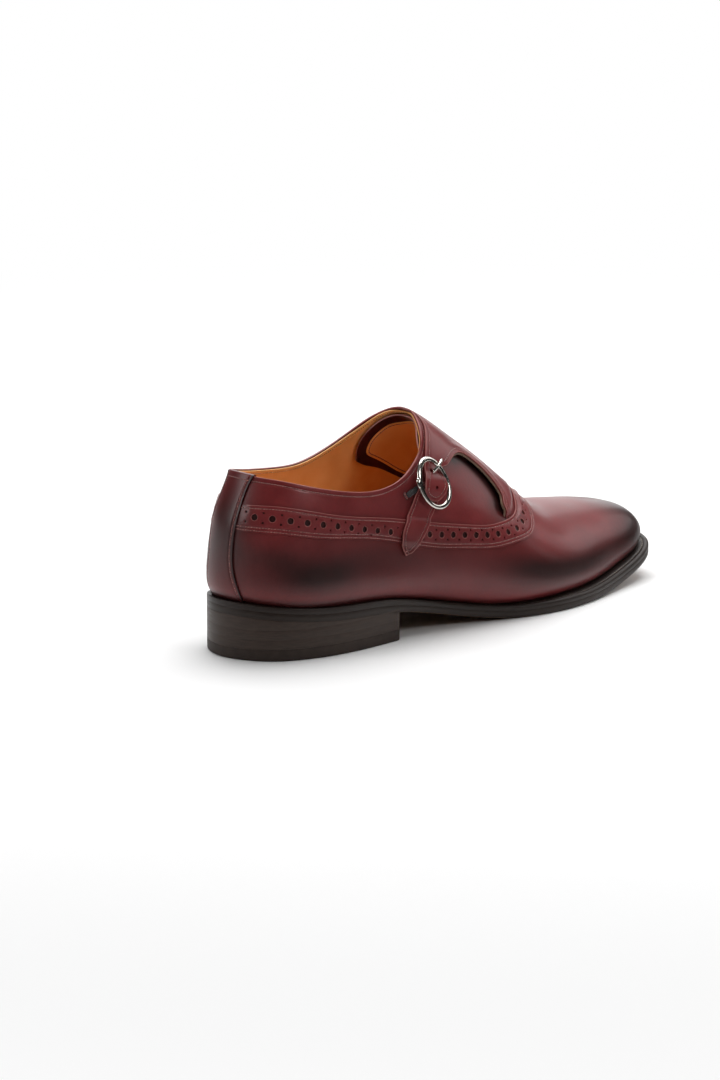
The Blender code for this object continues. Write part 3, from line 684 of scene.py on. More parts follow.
BODY_STEP = 1.3
SEAM_INSET = 2.6
SEAM_DIP = 0.22
DIP_WIDTH = 0.6
UNDER_BAND = 0.055
s_places = np.r_[0:THROAT - 8:BODY_STEP, THROAT - 8:THROAT + 0.01:0.8,
                 THROAT + BODY_STEP:FEATHER_LENGTH:BODY_STEP, FEATHER_LENGTH]
body = loft("upper_body", s_places, np.r_[0:0.92:57j, 0.93:1:10j],
            lift=0.0, low=-0.012, drop=0.0)
weld(body)
collar = trace([(s, 1 - g) for s, g in TOPLINE_LATERAL])
body_seam = beside(collar, SEAM_INSET)
pattern = pattern_of(body)[0]
beside_collar = np.flatnonzero((pattern[:, 1] > 0) & (pattern[:, 0] < THROAT))
away = distance_to(body_seam, *pattern[beside_collar].T)
with mesh_of(body) as work:
    work.verts.ensure_lookup_table()
    for i, distance in zip(beside_collar, away):
        if distance < 3 * DIP_WIDTH:
            inward = world(skin(*pattern[i], -1.0)) - world(skin(*pattern[i]))
            depth = SEAM_DIP * float(np.exp(-(distance / DIP_WIDTH) ** 2))
            work.verts[i].co += Vector(inward) * depth
    covered = []
    for face in work.faces:
        s, c = pattern[[vert.index for vert in face.verts]].mean(axis=0)
        if c < -0.01 and 6.0 < s < 214.0 and -c < height_at(BAND_TOP, s) + UNDER_BAND * (s < 190.0):
            covered.append(face)
    bmesh.ops.delete(work, geom=covered, context='FACES')
band_top = trace(across(BAND_TOP))
thicken(body, CALF_THICKNESS, offset=-1.0, bevel=0.45)
paint(body, [skin(*collar.T)], width=0.7)
finish(body, calf, "calf", "upper")


# The lining: undyed tan calf, 0.8 mm thick, glued inside the upper and trimmed just below the
# folded collar, with the leather sock over the insole that the foot stands on.
LINING_THICKNESS = 0.8
LINING_DROP = 0.5
LINING_SEAM_INSET = 2.2


def tan_leather(name, deep, bright):
    """Lining calf: no finish but a light polish, fine pores and faint mottling."""
    made, tree, shader = new_material(name, {"Roughness": 0.50, "Specular IOR Level": 0.4})
    place = add(tree, "TexCoord").outputs["Object"]
    cloud = add(tree, "TexNoise", {"Vector": place, "Scale": 1 / (14.0 * MM), "Detail": 5.0})
    tone = add(tree, "ValToRGB", {"Fac": cloud.outputs["Fac"]}, [(0.3, deep), (0.7, bright)])
    pores = add(tree, "TexVoronoi", {"Vector": place, "Scale": 1 / (0.6 * MM)})
    dots = add(tree, "MapRange", {0: pores.outputs["Distance"], 1: 0.0, 2: 0.25, 3: 0.12, 4: 0.0})
    tone = add(tree, "Mix", {0: dots.outputs[0], 6: tone.outputs["Color"], 7: colour("5a2c0c")},
               data_type='RGBA')
    rims = add(tree, "Attribute", attribute_name="rim").outputs["Fac"]
    tone = add(tree, "Mix", {0: rims, 6: tone.outputs[2], 7: colour("e2a868")}, data_type='RGBA')
    tree.links.new(tone.outputs[2], shader.inputs["Base Color"])
    grain = add(tree, "Bump", {"Strength": 0.2, "Distance": 0.06 * MM,
                               "Height": pores.outputs["Distance"]})
    tree.links.new(grain.outputs[0], shader.inputs["Normal"])
    return made


tan = tan_leather("tan_lining_calf", "e2a05e", "ecb070")
s_places = np.r_[0:THROAT - 6:2.0, THROAT - 6:THROAT + 0.01:1.0,
                 THROAT + 2:FEATHER_LENGTH:2.6, FEATHER_LENGTH]
lining = loft("lining", s_places, np.linspace(0, 1, 44),
              lift=-CALF_THICKNESS - 0.05, low=0.03, drop=LINING_DROP)
weld(lining)
thicken(lining, LINING_THICKNESS, offset=-1.0, bevel=0.3)
collar_rims = []
for side, table in TOPLINES:
    edge = trace([(s, side * (1 - g)) for s, g in table])
    collar_rims.append(skin(*edge.T, -CALF_THICKNESS - 0.5 * LINING_THICKNESS))
paint(lining, collar_rims, width=1.4)
finish(lining, tan, "lining")

# The sock and the insole under it are one slab, cut a little inside the last's feather edge,
# with a rounded rim. It rises with the tread from the ball to the heel.
SOCK_INSET = 2.7
OUTSOLE_THICKNESS = 3.7
GAP = 0.3
WELT_THICKNESS = 3.0
INSOLE_THICKNESS = 2.4
SOLE_PLAN = np.array([
    # u     lateral  medial
    [0.0, -3.0, 3.0], [12.0, 23.5, 26.5], [25.0, 31.0, 32.0], [45.0, 36.3, 35.2],
    [80.0, 37.3, 34.0], [110.0, 36.5, 31.0], [140.0, 40.3, 31.5], [165.0, 47.0, 37.0],
    [190.0, 52.3, 47.5], [210.0, 51.8, 53.0], [232.0, 47.5, 52.5], [255.0, 41.0, 46.5],
    [275.0, 35.0, 36.8], [288.4, 27.4, 25.6], [294.3, 18.0, 16.2], [296.9, 0.0, 0.0],
])
TREAD = np.array([
    # u     z of the outsole's underside
    [0.0, 23.4], [25.0, 20.3], [45.0, 18.5], [80.0, 16.3], [110.0, 10.8], [140.0, 4.1],
    [165.0, 0.5], [190.0, 0.0], [215.0, 0.0], [235.0, 1.0], [255.0, 3.6], [275.0, 7.8],
    [290.0, 12.2], [300.0, 15.3],
])
sole_row, SOLE_EDGE_LENGTH = round_the_edge(SOLE_PLAN)
tread_spline = spline(TREAD[:, 0], TREAD[:, 1])


def tread(u):
    """Height of the outsole's underside."""
    return np.maximum(0.0, tread_spline(u)[:, 0])


def edge_plan(row_at, side, s, inset=0.0):
    """Plan places (u, v) round a sole or feather edge, moved in by inset."""
    row = row_at(s)
    change = row_at(s + 0.05) - row_at(s - 0.05)
    width = 1 if side == LATERAL else 2
    forward, outward = change[:, 0], change[:, width]
    size = np.hypot(forward, outward)
    return row[:, 0] + inset * outward / size, side * (row[:, width] - inset * forward / size)


def on_tread(u, v, height):
    """Shoe places at a height over the outsole's underside."""
    return np.stack([u, v, tread(u) + height], axis=-1)


def edge_rows(row_at, side, s, profile):
    """Shoe places round an edge, one row for each s: profile(s) gives insets and heights, each
    a number or one for each s."""
    insets, heights = profile(s)
    rows = [on_tread(*edge_plan(row_at, side, s, inset), z) for inset, z in zip(insets, heights)]
    return np.stack(rows, axis=1)


def spread(count, ends=1.6):
    """Shares of the way round one side, closer together at heel and toe."""
    even = np.linspace(-1, 1, count)
    return 0.5 + 0.5 * np.sign(even) * (1 - (1 - np.abs(even)) ** ends)


def tube(name, sections):
    """Closed skin over sections that each run once round, first to last."""
    made = lay(name, sections.reshape(-1, 3), quads(*sections.shape[:2], closed=True))
    weld(made, 0.0002)
    turned_out(made)
    return made


def turned_out(piece):
    """Turns the faces of a closed shell outwards."""
    with mesh_of(piece) as work:
        bmesh.ops.recalc_face_normals(work, faces=work.faces)
        if work.calc_volume(signed=True) < 0:
            bmesh.ops.reverse_faces(work, faces=work.faces)


def filled(low_row, high_row, count):
    """Places across from one row to another, both ends left out."""
    share = np.linspace(0, 1, count)[1:-1, None]
    return low_row[:, None] * (1 - share) + high_row[:, None] * share


insole_base = OUTSOLE_THICKNESS + WELT_THICKNESS + 2 * GAP


def sock_profile(s):
    """Up the sock's edge and over its rounded rim."""
    insets = [SOCK_INSET, SOCK_INSET, SOCK_INSET + 0.15, SOCK_INSET + 0.6]
    return insets, [insole_base] + [insole_base + INSOLE_THICKNESS - z for z in (0.6, 0.15, 0.0)]


def slab(name, row_at, s, profile, wide):
    """Plate between the edges of both sides, its rim given by the profile."""
    outer, inner = (edge_rows(row_at, side, s, profile) for side in (LATERAL, MEDIAL))
    upper_face = filled(outer[:, -1], inner[:, -1], wide)
    under_face = filled(inner[:, 0], outer[:, 0], wide)
    for face, rim in ((upper_face, outer[:, -1]), (under_face, outer[:, 0])):
        off_tread = rim[:, 2] - tread(rim[:, 0])
        face[..., 2] = tread(face[..., 0].ravel()).reshape(face.shape[:2]) + off_tread[:, None]
    made = tube(name, np.concatenate([outer, upper_face, inner[:, ::-1], under_face], axis=1))
    smooth(made)
    return made


sock = slab("sock", last_row, spread(90) * FEATHER_LENGTH, sock_profile, 15)
paint(sock)
finish(sock, tan, "lining", "insole")


# The quarter with the strap: one piece of calf that runs from the heel strip along the inner
# side, over the instep and down the outer side, where its free edge curls in an S and its
# strap passes through the buckle. Stitched at the collar and all along the S.
QUARTER_THICKNESS = 1.1
QUARTER_LIFT = 0.05
QUARTER_PROUD = 2.0
STRAP_LIFT_BAR = 4.0
STRAP_PLAY = 0.4
STRAP_LIFT_TAIL = 2.1
STRAP_LIFT_START_G = 0.641
STRAP_TAIL_G = 0.472
STRAP_OVER_BAR = 0.014
STRAP_LIFT_END_S = 150.0
EDGE_CURL = 1.7
EDGE_CURL_REACH = 6.0
BUCKLE_G = 0.551
S_SEAM_INSET = 2.4
STRAP_SEAM_INSET = 2.0
CUT_RIM = 0.55
QUARTER_COLLAR = [
    # s      c, from under the heel strip to the strap's tip
    (3.0, -0.311), (16.4, -0.322), (31.0, -0.345), (54.5, -0.396), (75.0, -0.418),
    (90.0, -0.404), (104.0, -0.352), (121.3, -0.251), (132.0, -0.166), (139.5, -0.085),
    (143.0, 0.0), (143.1, 0.084), (141.3, 0.162), (137.8, 0.214), (131.1, 0.305),
    (126.5, 0.375), (121.8, 0.435), (120.1, 0.480),
]
STRAP_TIP = [(120.1, 0.480), (121.0, 0.503), (125.3, 0.527), (128.3, 0.528), (131.4, 0.512),
             (134.4, 0.484), (136.6, 0.452)]
STRAP_LOWER = [(136.6, 0.452), (136.0, 0.422), (136.6, 0.385), (139.6, 0.360), (142.3, 0.352)]
S_EDGE = [
    (142.3, 0.352), (144.6, 0.338), (148.7, 0.307), (155.1, 0.271), (161.5, 0.252),
    (168.4, 0.264), (174.7, 0.301), (178.2, 0.345), (179.8, 0.388), (179.7, 0.430),
    (178.0, 0.468), (178.2, 0.500), (179.9, 0.535), (182.0, 0.555),
]
QUARTER_FOOT = [
    (182.0, 0.555), (187.0, 0.535), (193.5, 0.485), (200.0, 0.395), (207.5, 0.270),
    (215.0, 0.140), (219.5, 0.0), (215.0, -0.140), (207.5, -0.270), (200.0, -0.395),
    (193.5, -0.485), (183.6, -0.570), (164.9, -0.640), (130.7, -0.672), (96.0, -0.652),
    (63.0, -0.608), (42.0, -0.556), (25.8, -0.524), (3.0, -0.512),
]
# Middle (s, c) and radius in millimetres
PRONG_HOLE = ((129.4, 0.394), 1.3)
SPARE_HOLE = ((128.3, 0.467), 0.9)


def ring(centre, radius, count):
    """Places round a circle of a radius in millimetres on the leather."""
    centre = np.array(centre)
    per_s, per_c = stretch(*centre)
    ahead = per_s / np.linalg.norm(per_s)
    aside = per_c - ahead * (per_c @ ahead)
    aside /= np.linalg.norm(aside)
    turn = np.linspace(0, 2 * np.pi, count, endpoint=False)[:, None]
    way = radius * (np.cos(turn) * ahead + np.sin(turn) * aside)
    return moved(np.tile(centre, (count, 1)), way)


def round_outline(edges, step):
    """Outline of a piece from its edges, each a smooth path that starts where the last ends."""
    return np.concatenate([trace(edge, step)[:-1] for edge in edges])


def cut_leather(name, outline, step, lift, holes=(), lines=()):
    """Sheet cut to an outline on the pattern, with holes, laid on the last at lift(s, c).

    It has extra points along each of the lines, where the leather dips under stitches."""
    scale = np.array([1.0, GIRTH])
    rims = [outline * scale] + [hole * scale for hole in holes]
    extra = [line * scale for line in lines]
    low, high = rims[0].min(axis=0), rims[0].max(axis=0)
    tree = tree_of([(x, y, 0) for x, y in np.concatenate(rims + extra)])
    points = [tuple(p) for rim in rims for p in rim]
    edges, loops = [], []
    for rim in rims:
        first = sum(map(len, loops))
        loop = list(range(first, first + len(rim)))
        edges += list(zip(loop, loop[1:] + loop[:1]))
        loops.append(loop)
    points += [tuple(p) for line in extra for p in line]
    for row, y in enumerate(np.arange(low[1] + 0.5 * step, high[1], 0.866 * step)):
        for x in np.arange(low[0] + 0.5 * step * (row % 2), high[0], step):
            if tree.find((x, y, 0))[2] > 0.6 * step:
                points.append((x, y))
    cut = delaunay_2d_cdt([Vector(p) for p in points], edges, loops, 1, 1e-5)
    spots, triangles, owners = cut[0], cut[2], cut[5]
    kept = [face for face, owner in zip(triangles, owners) if all(k == 0 for k in owner)]
    flat = np.array([tuple(spot) for spot in spots]) / scale
    s, c = flat.T
    piece = lay(name, skin(s, c, lift(s, c)), kept)
    with mesh_of(piece) as work:
        bmesh.ops.delete(work, geom=[v for v in work.verts if not v.link_faces], context='VERTS')
    return piece


def within(edge, distance):
    """Path that runs a distance inside a piece's edge."""
    return beside(trace(edge, 1.0), -distance)


free_edge = trace(S_EDGE[1:-2])


def quarter_top(s, c):
    """Height of the strap quarter's face: on the last inside, proud of it on the outer side."""
    g = 1 - c
    rise = smoothstep(0.0, 0.30, c)
    clear = smoothstep(0.5, 5.0, distance_to(band_top, s, c))
    flat = QUARTER_LIFT + (QUARTER_PROUD - QUARTER_LIFT) * rise * clear
    flat = flat + EDGE_CURL * clear * np.exp(-(distance_to(free_edge, s, c) / EDGE_CURL_REACH) ** 2)
    top, foot = BUCKLE_G + STRAP_OVER_BAR, BUCKLE_G - STRAP_OVER_BAR
    up = smoothstep(STRAP_LIFT_START_G, top, g)
    down = smoothstep(foot, STRAP_TAIL_G, g)
    bar = STRAP_LIFT_BAR + QUARTER_THICKNESS + STRAP_PLAY
    bar = bar + (STRAP_LIFT_TAIL - STRAP_LIFT_BAR) * down
    on_strap = (c > 0) & (s < STRAP_LIFT_END_S)
    return np.where(on_strap, flat + (bar - flat) * up, flat)


quarter_edges = [QUARTER_COLLAR, STRAP_TIP, STRAP_LOWER, S_EDGE, QUARTER_FOOT,
                 [QUARTER_FOOT[-1], QUARTER_COLLAR[0]]]
collar_seam = within(QUARTER_COLLAR, SEAM_INSET)
s_seam = within(S_EDGE, S_SEAM_INSET)
strap_seam = within(STRAP_TIP + STRAP_LOWER[1:4], STRAP_SEAM_INSET)
quarter_rims = (QUARTER_COLLAR, STRAP_TIP, STRAP_LOWER, S_EDGE)


def seam_dip(seams, s, c):
    """How far the leather is drawn in by two seams at each place."""
    away = np.minimum(*(distance_to(trace(seam, 0.2), s, c) for seam in seams))
    return SEAM_DIP * np.exp(-(away / DIP_WIDTH) ** 2)


def quarter_under(s, c):
    """Height of the quarter's flesh side, drawn in by its seams."""
    return quarter_top(s, c) - seam_dip((collar_seam, s_seam), s, c) - QUARTER_THICKNESS


quarter = cut_leather("strap_quarter", round_outline(quarter_edges, 1.1), 1.3, quarter_under,
                      [ring(*PRONG_HOLE, 14), ring(*SPARE_HOLE, 12)],
                      [beside(seam, side) for seam in (collar_seam, s_seam)
                       for side in (-0.7, 0.0, 0.7)]
                      + [within(edge, CUT_RIM) for edge in quarter_rims])
thicken(quarter, QUARTER_THICKNESS, offset=1.0, bevel=0.35)
quarter_paths = map(trace, quarter_rims)
paint(quarter, [skin(*path.T, quarter_top(*path.T) - 0.2) for path in quarter_paths], width=0.6)
finish(quarter, calf, "calf", "strap")


# The wing's own lining: thin calf glued under the free edge of the strap quarter, whose raw edge
# shows grey-brown below the cut edge of the S.
WING_LINING = 0.8
WING_REACH = 0.8
WING_WIDTH = 7.0

wing_edge = trace(S_EDGE, 1.0)[6:]
wing_outline = np.concatenate([beside(wing_edge, WING_REACH), beside(wing_edge, -WING_WIDTH)[::-1]])
wing = cut_leather("wing_lining", wing_outline, 1.6,
                   lambda s, c: quarter_top(s, c) - QUARTER_THICKNESS - WING_LINING)
thicken(wing, WING_LINING - 0.02, offset=1.0, bevel=0.2)
raw_edge = calf_finish("raw_edge_calf", "5e4a3e", "78604f", "2a221c", "8a705c")
paint(wing)
finish(wing, raw_edge, "calf")

# Painted shadow: the body's calf is darkened along the wing's free edge, a narrow dark line and a wider
# soft shade beneath the raised wing.
WING_SHADOW = 0.75
WING_SHADOW_REACH = 4.0
WING_SHADE = 0.60
WING_SHADE_REACH = 11.0

beside_wing = distance_to(trace(S_EDGE[3:-3]), *pattern_of(body)[0].T)
wing_shaded = np.empty(len(beside_wing), np.float32)
layer = body.data.attributes["burnish_and_shade"].data
layer.foreach_get("value", wing_shaded)
wing_shaded += (WING_SHADOW * np.exp(-(beside_wing / WING_SHADOW_REACH) ** 2)
            + WING_SHADE * np.exp(-(beside_wing / WING_SHADE_REACH) ** 2))
layer.foreach_set("value", np.minimum(wing_shaded, 1.0))


# Thread: waxed three-cord cotton. A stitch is one small bulged grain, modelled once and copied
# along each seam, with the needle's holes between the stitches.
STITCH_PITCH = 1.4
STITCH_WIDTH = 0.5
STITCH_HEIGHT = 0.34
STITCH_SHARE = 0.92
STITCH_RISE = 0.04
NEEDLE_HOLE = (0.7, 0.7, 0.12)
HOLE_RISE = 0.02
FROM_INSIDE = -9.0


def noise_finish(name, principled, stops, size, detail, strength, depth, gloss=(), drawn=1.0):
    """Finish whose colour and relief come from one noise, its size and depth in millimetres; gloss
    gives its lowest and highest roughness, and drawn how much finer it is upwards."""
    made, tree, shader = new_material(name, principled)
    place = add(tree, "TexCoord").outputs["Object"]
    if drawn > 1.0:
        place = add(tree, "Mapping", {"Vector": place, "Scale": (1.0, 1.0, drawn)}).outputs[0]
    noise = add(tree, "TexNoise", {"Vector": place, "Scale": 1 / (size * MM), "Detail": detail})
    tone = add(tree, "ValToRGB", {"Fac": noise.outputs["Fac"]}, stops)
    tree.links.new(tone.outputs["Color"], shader.inputs["Base Color"])
    if gloss:
        worn = add(tree, "MapRange", {0: noise.outputs["Fac"], 1: 0.3, 2: 0.7,
                                      3: gloss[0], 4: gloss[1]})
        tree.links.new(worn.outputs[0], shader.inputs["Roughness"])
    relief = add(tree, "Bump", {"Strength": strength, "Distance": depth * MM,
                                "Height": noise.outputs["Fac"]})
    tree.links.new(relief.outputs[0], shader.inputs["Normal"])
    return made


def thread_finish(name, body, light):
    """Waxed thread, whose plies show as a fine twist."""
    return noise_finish(name, {"Roughness": 0.42, "Sheen Weight": 0.15},
                        [(0.35, body), (0.65, light)], size=0.9, detail=1.0, strength=0.3, depth=0.1)


burgundy_thread = thread_finish("waxed_burgundy_thread", "5e2724", "a8685f")
tan_thread = thread_finish("waxed_tan_thread", "c98a4a", "efc288")
# Near-black discs in the needle holes: painted shade.
hole_dark = thread_finish("needle_hole_shadow", "120606", "1c0a0a")

bpy.ops.object.select_all(action='DESELECT')
bpy.ops.mesh.primitive_uv_sphere_add(segments=6, ring_count=5, radius=0.5)
grain = bpy.context.object
bpy.ops.object.mode_set(mode='EDIT')
bpy.ops.mesh.select_all(action='SELECT')
bpy.ops.transform.rotate(value=np.pi / 2, orient_axis='Y', center_override=(0, 0, 0))
bpy.ops.object.mode_set(mode='OBJECT')
grain_points = np.array([vert.co for vert in grain.data.vertices])
grain_faces = [tuple(face.vertices) for face in grain.data.polygons]
bpy.data.objects.remove(grain)
turn = np.linspace(0, 2 * np.pi, 6, endpoint=False)
pit_rim = np.c_[0.5 * np.cos(turn), 0.5 * np.sin(turn), np.zeros(6)]
pit_points = np.concatenate([pit_rim, [(0.0, 0.0, 0.5), (0.0, 0.0, -0.5)]])
pit_faces = [(k, (k + 1) % 6, 6) for k in range(6)] + [((k + 1) % 6, k, 7) for k in range(6)]


def land(piece, start, towards):
    """Where rays from shoe places towards others meet a piece, and its normals there."""
    spots, normals = [], []
    for origin, way in zip(world(start), world(towards) - world(start)):
        met, spot, normal, _ = piece.ray_cast(Vector(origin), Vector(way).normalized())
        spots.append(spot if met else Vector((np.nan,) * 3))
        normals.append(normal)
    return np.array(spots), np.array(normals)


def land_on(piece, path, start=7.0):
    """Where lines through the leather along a path, from start millimetres over it, meet a piece."""
    return land(piece, skin(*path.T, start), skin(*path.T, start - np.sign(start)))


def seam_rows(piece, seams, pitch=STITCH_PITCH, start=7.0):
    """Landed places a pitch apart along each of the seams of a piece."""
    return [land_on(piece, evenly(seam, pitch), start) for seam in seams]


def repeated(name, points, faces, places, ahead, normal, size):
    """Copies of a small shape of one size at places, each turned its own way, as one mesh."""
    frames = np.stack([ahead * size[0], np.cross(normal, ahead) * size[1], normal * size[2]], axis=1)
    copies = places[:, None, :] + np.einsum('pk,nkx->npx', points, frames)
    count = len(points)
    mesh = bpy.data.meshes.new(name)
    mesh.from_pydata(copies.reshape(-1, 3).tolist(), [],
                     [tuple(k * count + v for v in face) for k in range(len(places)) for face in faces])
    mesh.shade_smooth()
    made = bpy.data.objects.new(name, mesh)
    bpy.context.collection.objects.link(made)
    return made


def sew(name, rows, thread, slot, pitch=STITCH_PITCH, width=STITCH_WIDTH, slant=0.16):
    """Rows of stitches between landed places a pitch apart, and near-black discs of painted shade in
    their needle holes.
    """
    stitches, holes = [], []
    for ends, end_normals in rows:
        keep = ~np.isnan(ends[:, 0])
        pairs = keep[:-1] & keep[1:]
        first, last = ends[:-1][pairs], ends[1:][pairs]
        normal = end_normals[:-1][pairs] + end_normals[1:][pairs]
        normal /= np.linalg.norm(normal, axis=1, keepdims=True)
        way = last - first
        size = np.linalg.norm(way, axis=1, keepdims=True)
        fits = (size[:, 0] > 0.4 * pitch * MM) & (size[:, 0] < 1.6 * pitch * MM)
        way /= np.maximum(size, 1e-9)
        ahead = way + slant * np.cross(normal, way)
        ahead -= normal * np.sum(ahead * normal, axis=1, keepdims=True)
        ahead /= np.linalg.norm(ahead, axis=1, keepdims=True)
        stitches.append([(0.5 * (first + last))[fits], ahead[fits], normal[fits]])
        holes.append([ends[keep], end_normals[keep]])
    middles, aheads, normals = map(np.concatenate, zip(*stitches))
    size = np.array([STITCH_SHARE * pitch, width, STITCH_HEIGHT]) * MM
    made = repeated(name, grain_points, grain_faces, middles + STITCH_RISE * MM * normals,
                    aheads, normals, size)
    finish(made, thread, slot)
    middles, normals = map(np.concatenate, zip(*holes))
    aheads = np.cross(normals, [0.0, 0.0, 1.0])
    aheads /= np.linalg.norm(aheads, axis=1, keepdims=True) + 1e-9
    made = repeated(name + "_holes", pit_points, pit_faces, middles + HOLE_RISE * MM * normals,
                    aheads, normals, np.array(NEEDLE_HOLE) * MM)
    finish(made, hole_dark, slot)


sew("quarter_stitches", seam_rows(quarter, (collar_seam, s_seam, strap_seam)), burgundy_thread, "calf")
sew("collar_stitches", seam_rows(body, [body_seam]), burgundy_thread, "calf")
inner_seams = [beside(trace([(s, side * (1 - g)) for s, g in table]), side * LINING_SEAM_INSET)
               for side, table in TOPLINES]
sew("lining_stitches", seam_rows(lining, inner_seams, start=FROM_INSIDE), tan_thread, "lining")


# The punched band: a strip of calf sewn over the joint of quarters and vamp. Its upper edge is
# folded, its holes are punched right through in a chain of one large and two small, and two
# close rows of stitches hold its lower edge.
BAND_THICKNESS = 0.75
BAND_LIFT = 0.08
BAND_FOLD = 0.22
BAND_FOLD_REACH = 11.0
BAND_SUNK = 0.55
BAND_LOWER_ROW = [
    # s      c, the outermost row of stitches
    (2.0, 0.609), (9.2, 0.609), (28.3, 0.618), (49.4, 0.652), (88.0, 0.700), (128.8, 0.738),
    (148.8, 0.720), (164.3, 0.700), (175.7, 0.673), (185.8, 0.642), (196.2, 0.590),
    (203.3, 0.502), (208.8, 0.413), (214.0, 0.310), (220.0, 0.180), (226.5, 0.070), (228.5, 0.0),
]
HOLE_LINE = [
    # s      c, the middles of the large holes
    (2.0, 0.540), (15.9, 0.537), (32.9, 0.557), (49.7, 0.589), (67.0, 0.626), (85.3, 0.659),
    (102.7, 0.678), (127.3, 0.682), (142.5, 0.671), (157.9, 0.652), (172.5, 0.625),
    (183.4, 0.591), (192.2, 0.528), (198.1, 0.444), (203.1, 0.354), (210.0, 0.228),
    (218.0, 0.095), (222.5, 0.0),
]
PITCH_BEHIND = 9.2
PITCH_AHEAD = 7.7
FIRST_HOLE = 14.8
LARGE_HOLE = 1.7
SMALL_HOLE = 0.55
SMALL_ASIDE = 2.5
TOP_ROW_INSET = 1.7
LOWER_ROW_GAP = 1.6
BAND_PITCH = 1.5
ROW_DIP = 0.20
ROW_DIP_WIDTH = 0.55

hole_path = trace(across(HOLE_LINE), 0.2)
steps = run_of(skin(*hole_path.T))
pitch = PITCH_BEHIND + (PITCH_AHEAD - PITCH_BEHIND) * smoothstep(105.0, 135.0, hole_path[:, 0])
turns = np.cumsum(np.gradient(steps) / pitch)
start, end = np.interp([FIRST_HOLE, steps[-1] - FIRST_HOLE], steps, turns)
hole_count = round(end - start)
wanted = start + np.arange(-0.5, hole_count + 1, 0.5) * (end - start) / hole_count
stops = np.interp(wanted, turns, steps)
chain = places_at(stops, steps, hole_path)
large = chain[1::2]
small = np.concatenate([beside(chain, side)[0::2] for side in (-SMALL_ASIDE, SMALL_ASIDE)])
band_holes = [ring(spot, LARGE_HOLE, 18) for spot in large]
band_holes += [ring(spot, SMALL_HOLE, 10) for spot in small]

upper_edge = trace(across(BAND_TOP), 0.5)
outer_row = trace(across(BAND_LOWER_ROW), 0.5)
band_rows = [beside(upper_edge, TOP_ROW_INSET), beside(outer_row, -LOWER_ROW_GAP), outer_row]
band_rims = np.concatenate([evenly(upper_edge, 0.9), evenly(beside(outer_row, 1.0), 0.9)[::-1]])
row_paths = [evenly(path, 0.2) for path in band_rows]


def band_under(s, c):
    """Height of the band's underside: raised along its fold, drawn in by each row of stitches and
    sunk where it runs under the heel strip."""
    from_fold = distance_to(band_top, s, c)
    height = BAND_LIFT + BAND_FOLD * (1 - smoothstep(0.0, BAND_FOLD_REACH, from_fold))
    for path in row_paths:
        height = height - ROW_DIP * np.exp(-(distance_to(path, s, c) / ROW_DIP_WIDTH) ** 2)
    under_strip = np.where(c > 0, 1 - smoothstep(8.0, 15.0, s), 1 - smoothstep(14.0, 34.0, s))
    return height - (height + BAND_SUNK) * under_strip


band = cut_leather("punched_band", band_rims, 1.0, band_under, band_holes,
                   [evenly(beside(row, side), 0.9) for row in band_rows
                    for side in (-ROW_DIP_WIDTH, 0.0, ROW_DIP_WIDTH)]
                   + [ring(spot, LARGE_HOLE + 0.4, 18) for spot in large]
                   + [within(across(BAND_TOP), -0.5)])
thicken(band, BAND_THICKNESS, offset=1.0, bevel=0.22)
paint(band, [skin(*band_top.T, BAND_THICKNESS + 0.2)]
      + [skin(*rim.T, 0.5 * BAND_THICKNESS + 0.2) for rim in band_holes[:len(large)]], width=0.65)
finish(band, calf, "calf")

# A dark sheet under the band: painted shade that shows dark red at the bottom of the holes
BACKING_LIFT = 0.06
BACKING_THICKNESS = 0.05
backing_rims = np.concatenate([evenly(beside(upper_edge, 2.5), 2.0),
                               evenly(beside(outer_row, -2.8), 2.0)[::-1]])
backing = cut_leather("hole_shade_sheet", backing_rims, 2.5, lambda s, c: BACKING_LIFT)
hole_shade_calf = calf_finish("shaded_backing_calf", "280d0c", "361311", "140706", "240e0c")
thicken(backing, BACKING_THICKNESS, offset=1.0, bevel=0.0)
paint(backing)
finish(backing, hole_shade_calf, "calf")
sew("band_stitches", seam_rows(band, band_rows, BAND_PITCH), burgundy_thread, "calf",
    pitch=BAND_PITCH)


# The heel strip: calf over the back seam from the sole to the collar, flared at both ends. It is
# sewn down each side, and a short tab of it folds over the collar to the inside.
STRIP_FRONT = [
    # g, up the back    s, its edge on each side
    (-0.010, 10.9), (0.022, 10.3), (0.100, 8.7), (0.149, 7.5), (0.234, 6.4), (0.313, 6.5),
    (0.396, 7.1), (0.460, 7.7), (0.550, 8.7), (0.600, 9.6), (0.645, 11.2), (0.670, 12.6), (0.690, 14.0),
]
STRIP_THICKNESS = 1.0
STRIP_FURTHER_IN = [(-0.02, 4.6), (0.35, 6.4), (0.6, 6.6), (0.85, 4.6), (1.02, 2.6)]
STRIP_LIFT = 0.95
STRIP_SEAM = 1.9
STRIP_DIP = 0.24
STRIP_TOP_G = 0.69
FOLD_THICKNESS = 0.6
FOLD_DEPTH = 5.0
STRIP_COLUMNS = 41
BACK_HEIGHT = 99.6

collar_height = spline(TOPLINE_LATERAL[:, 0], TOPLINE_LATERAL[:, 1], 0.0)
strip_width = spline(*np.transpose(STRIP_FRONT))
further_in = spline(*np.transpose(STRIP_FURTHER_IN))
share = np.sin(np.linspace(-0.5, 0.5, STRIP_COLUMNS) * np.pi * 0.8) / np.sin(0.4 * np.pi)


def strip_across(up):
    """s of the strip's columns, inner edge to outer, a share of the way up the back."""
    half = strip_width(min(up * STRIP_TOP_G, STRIP_TOP_G))[0, 0]
    return np.where(share > 0, share * half, share * (half + further_in(up)[0, 0]))


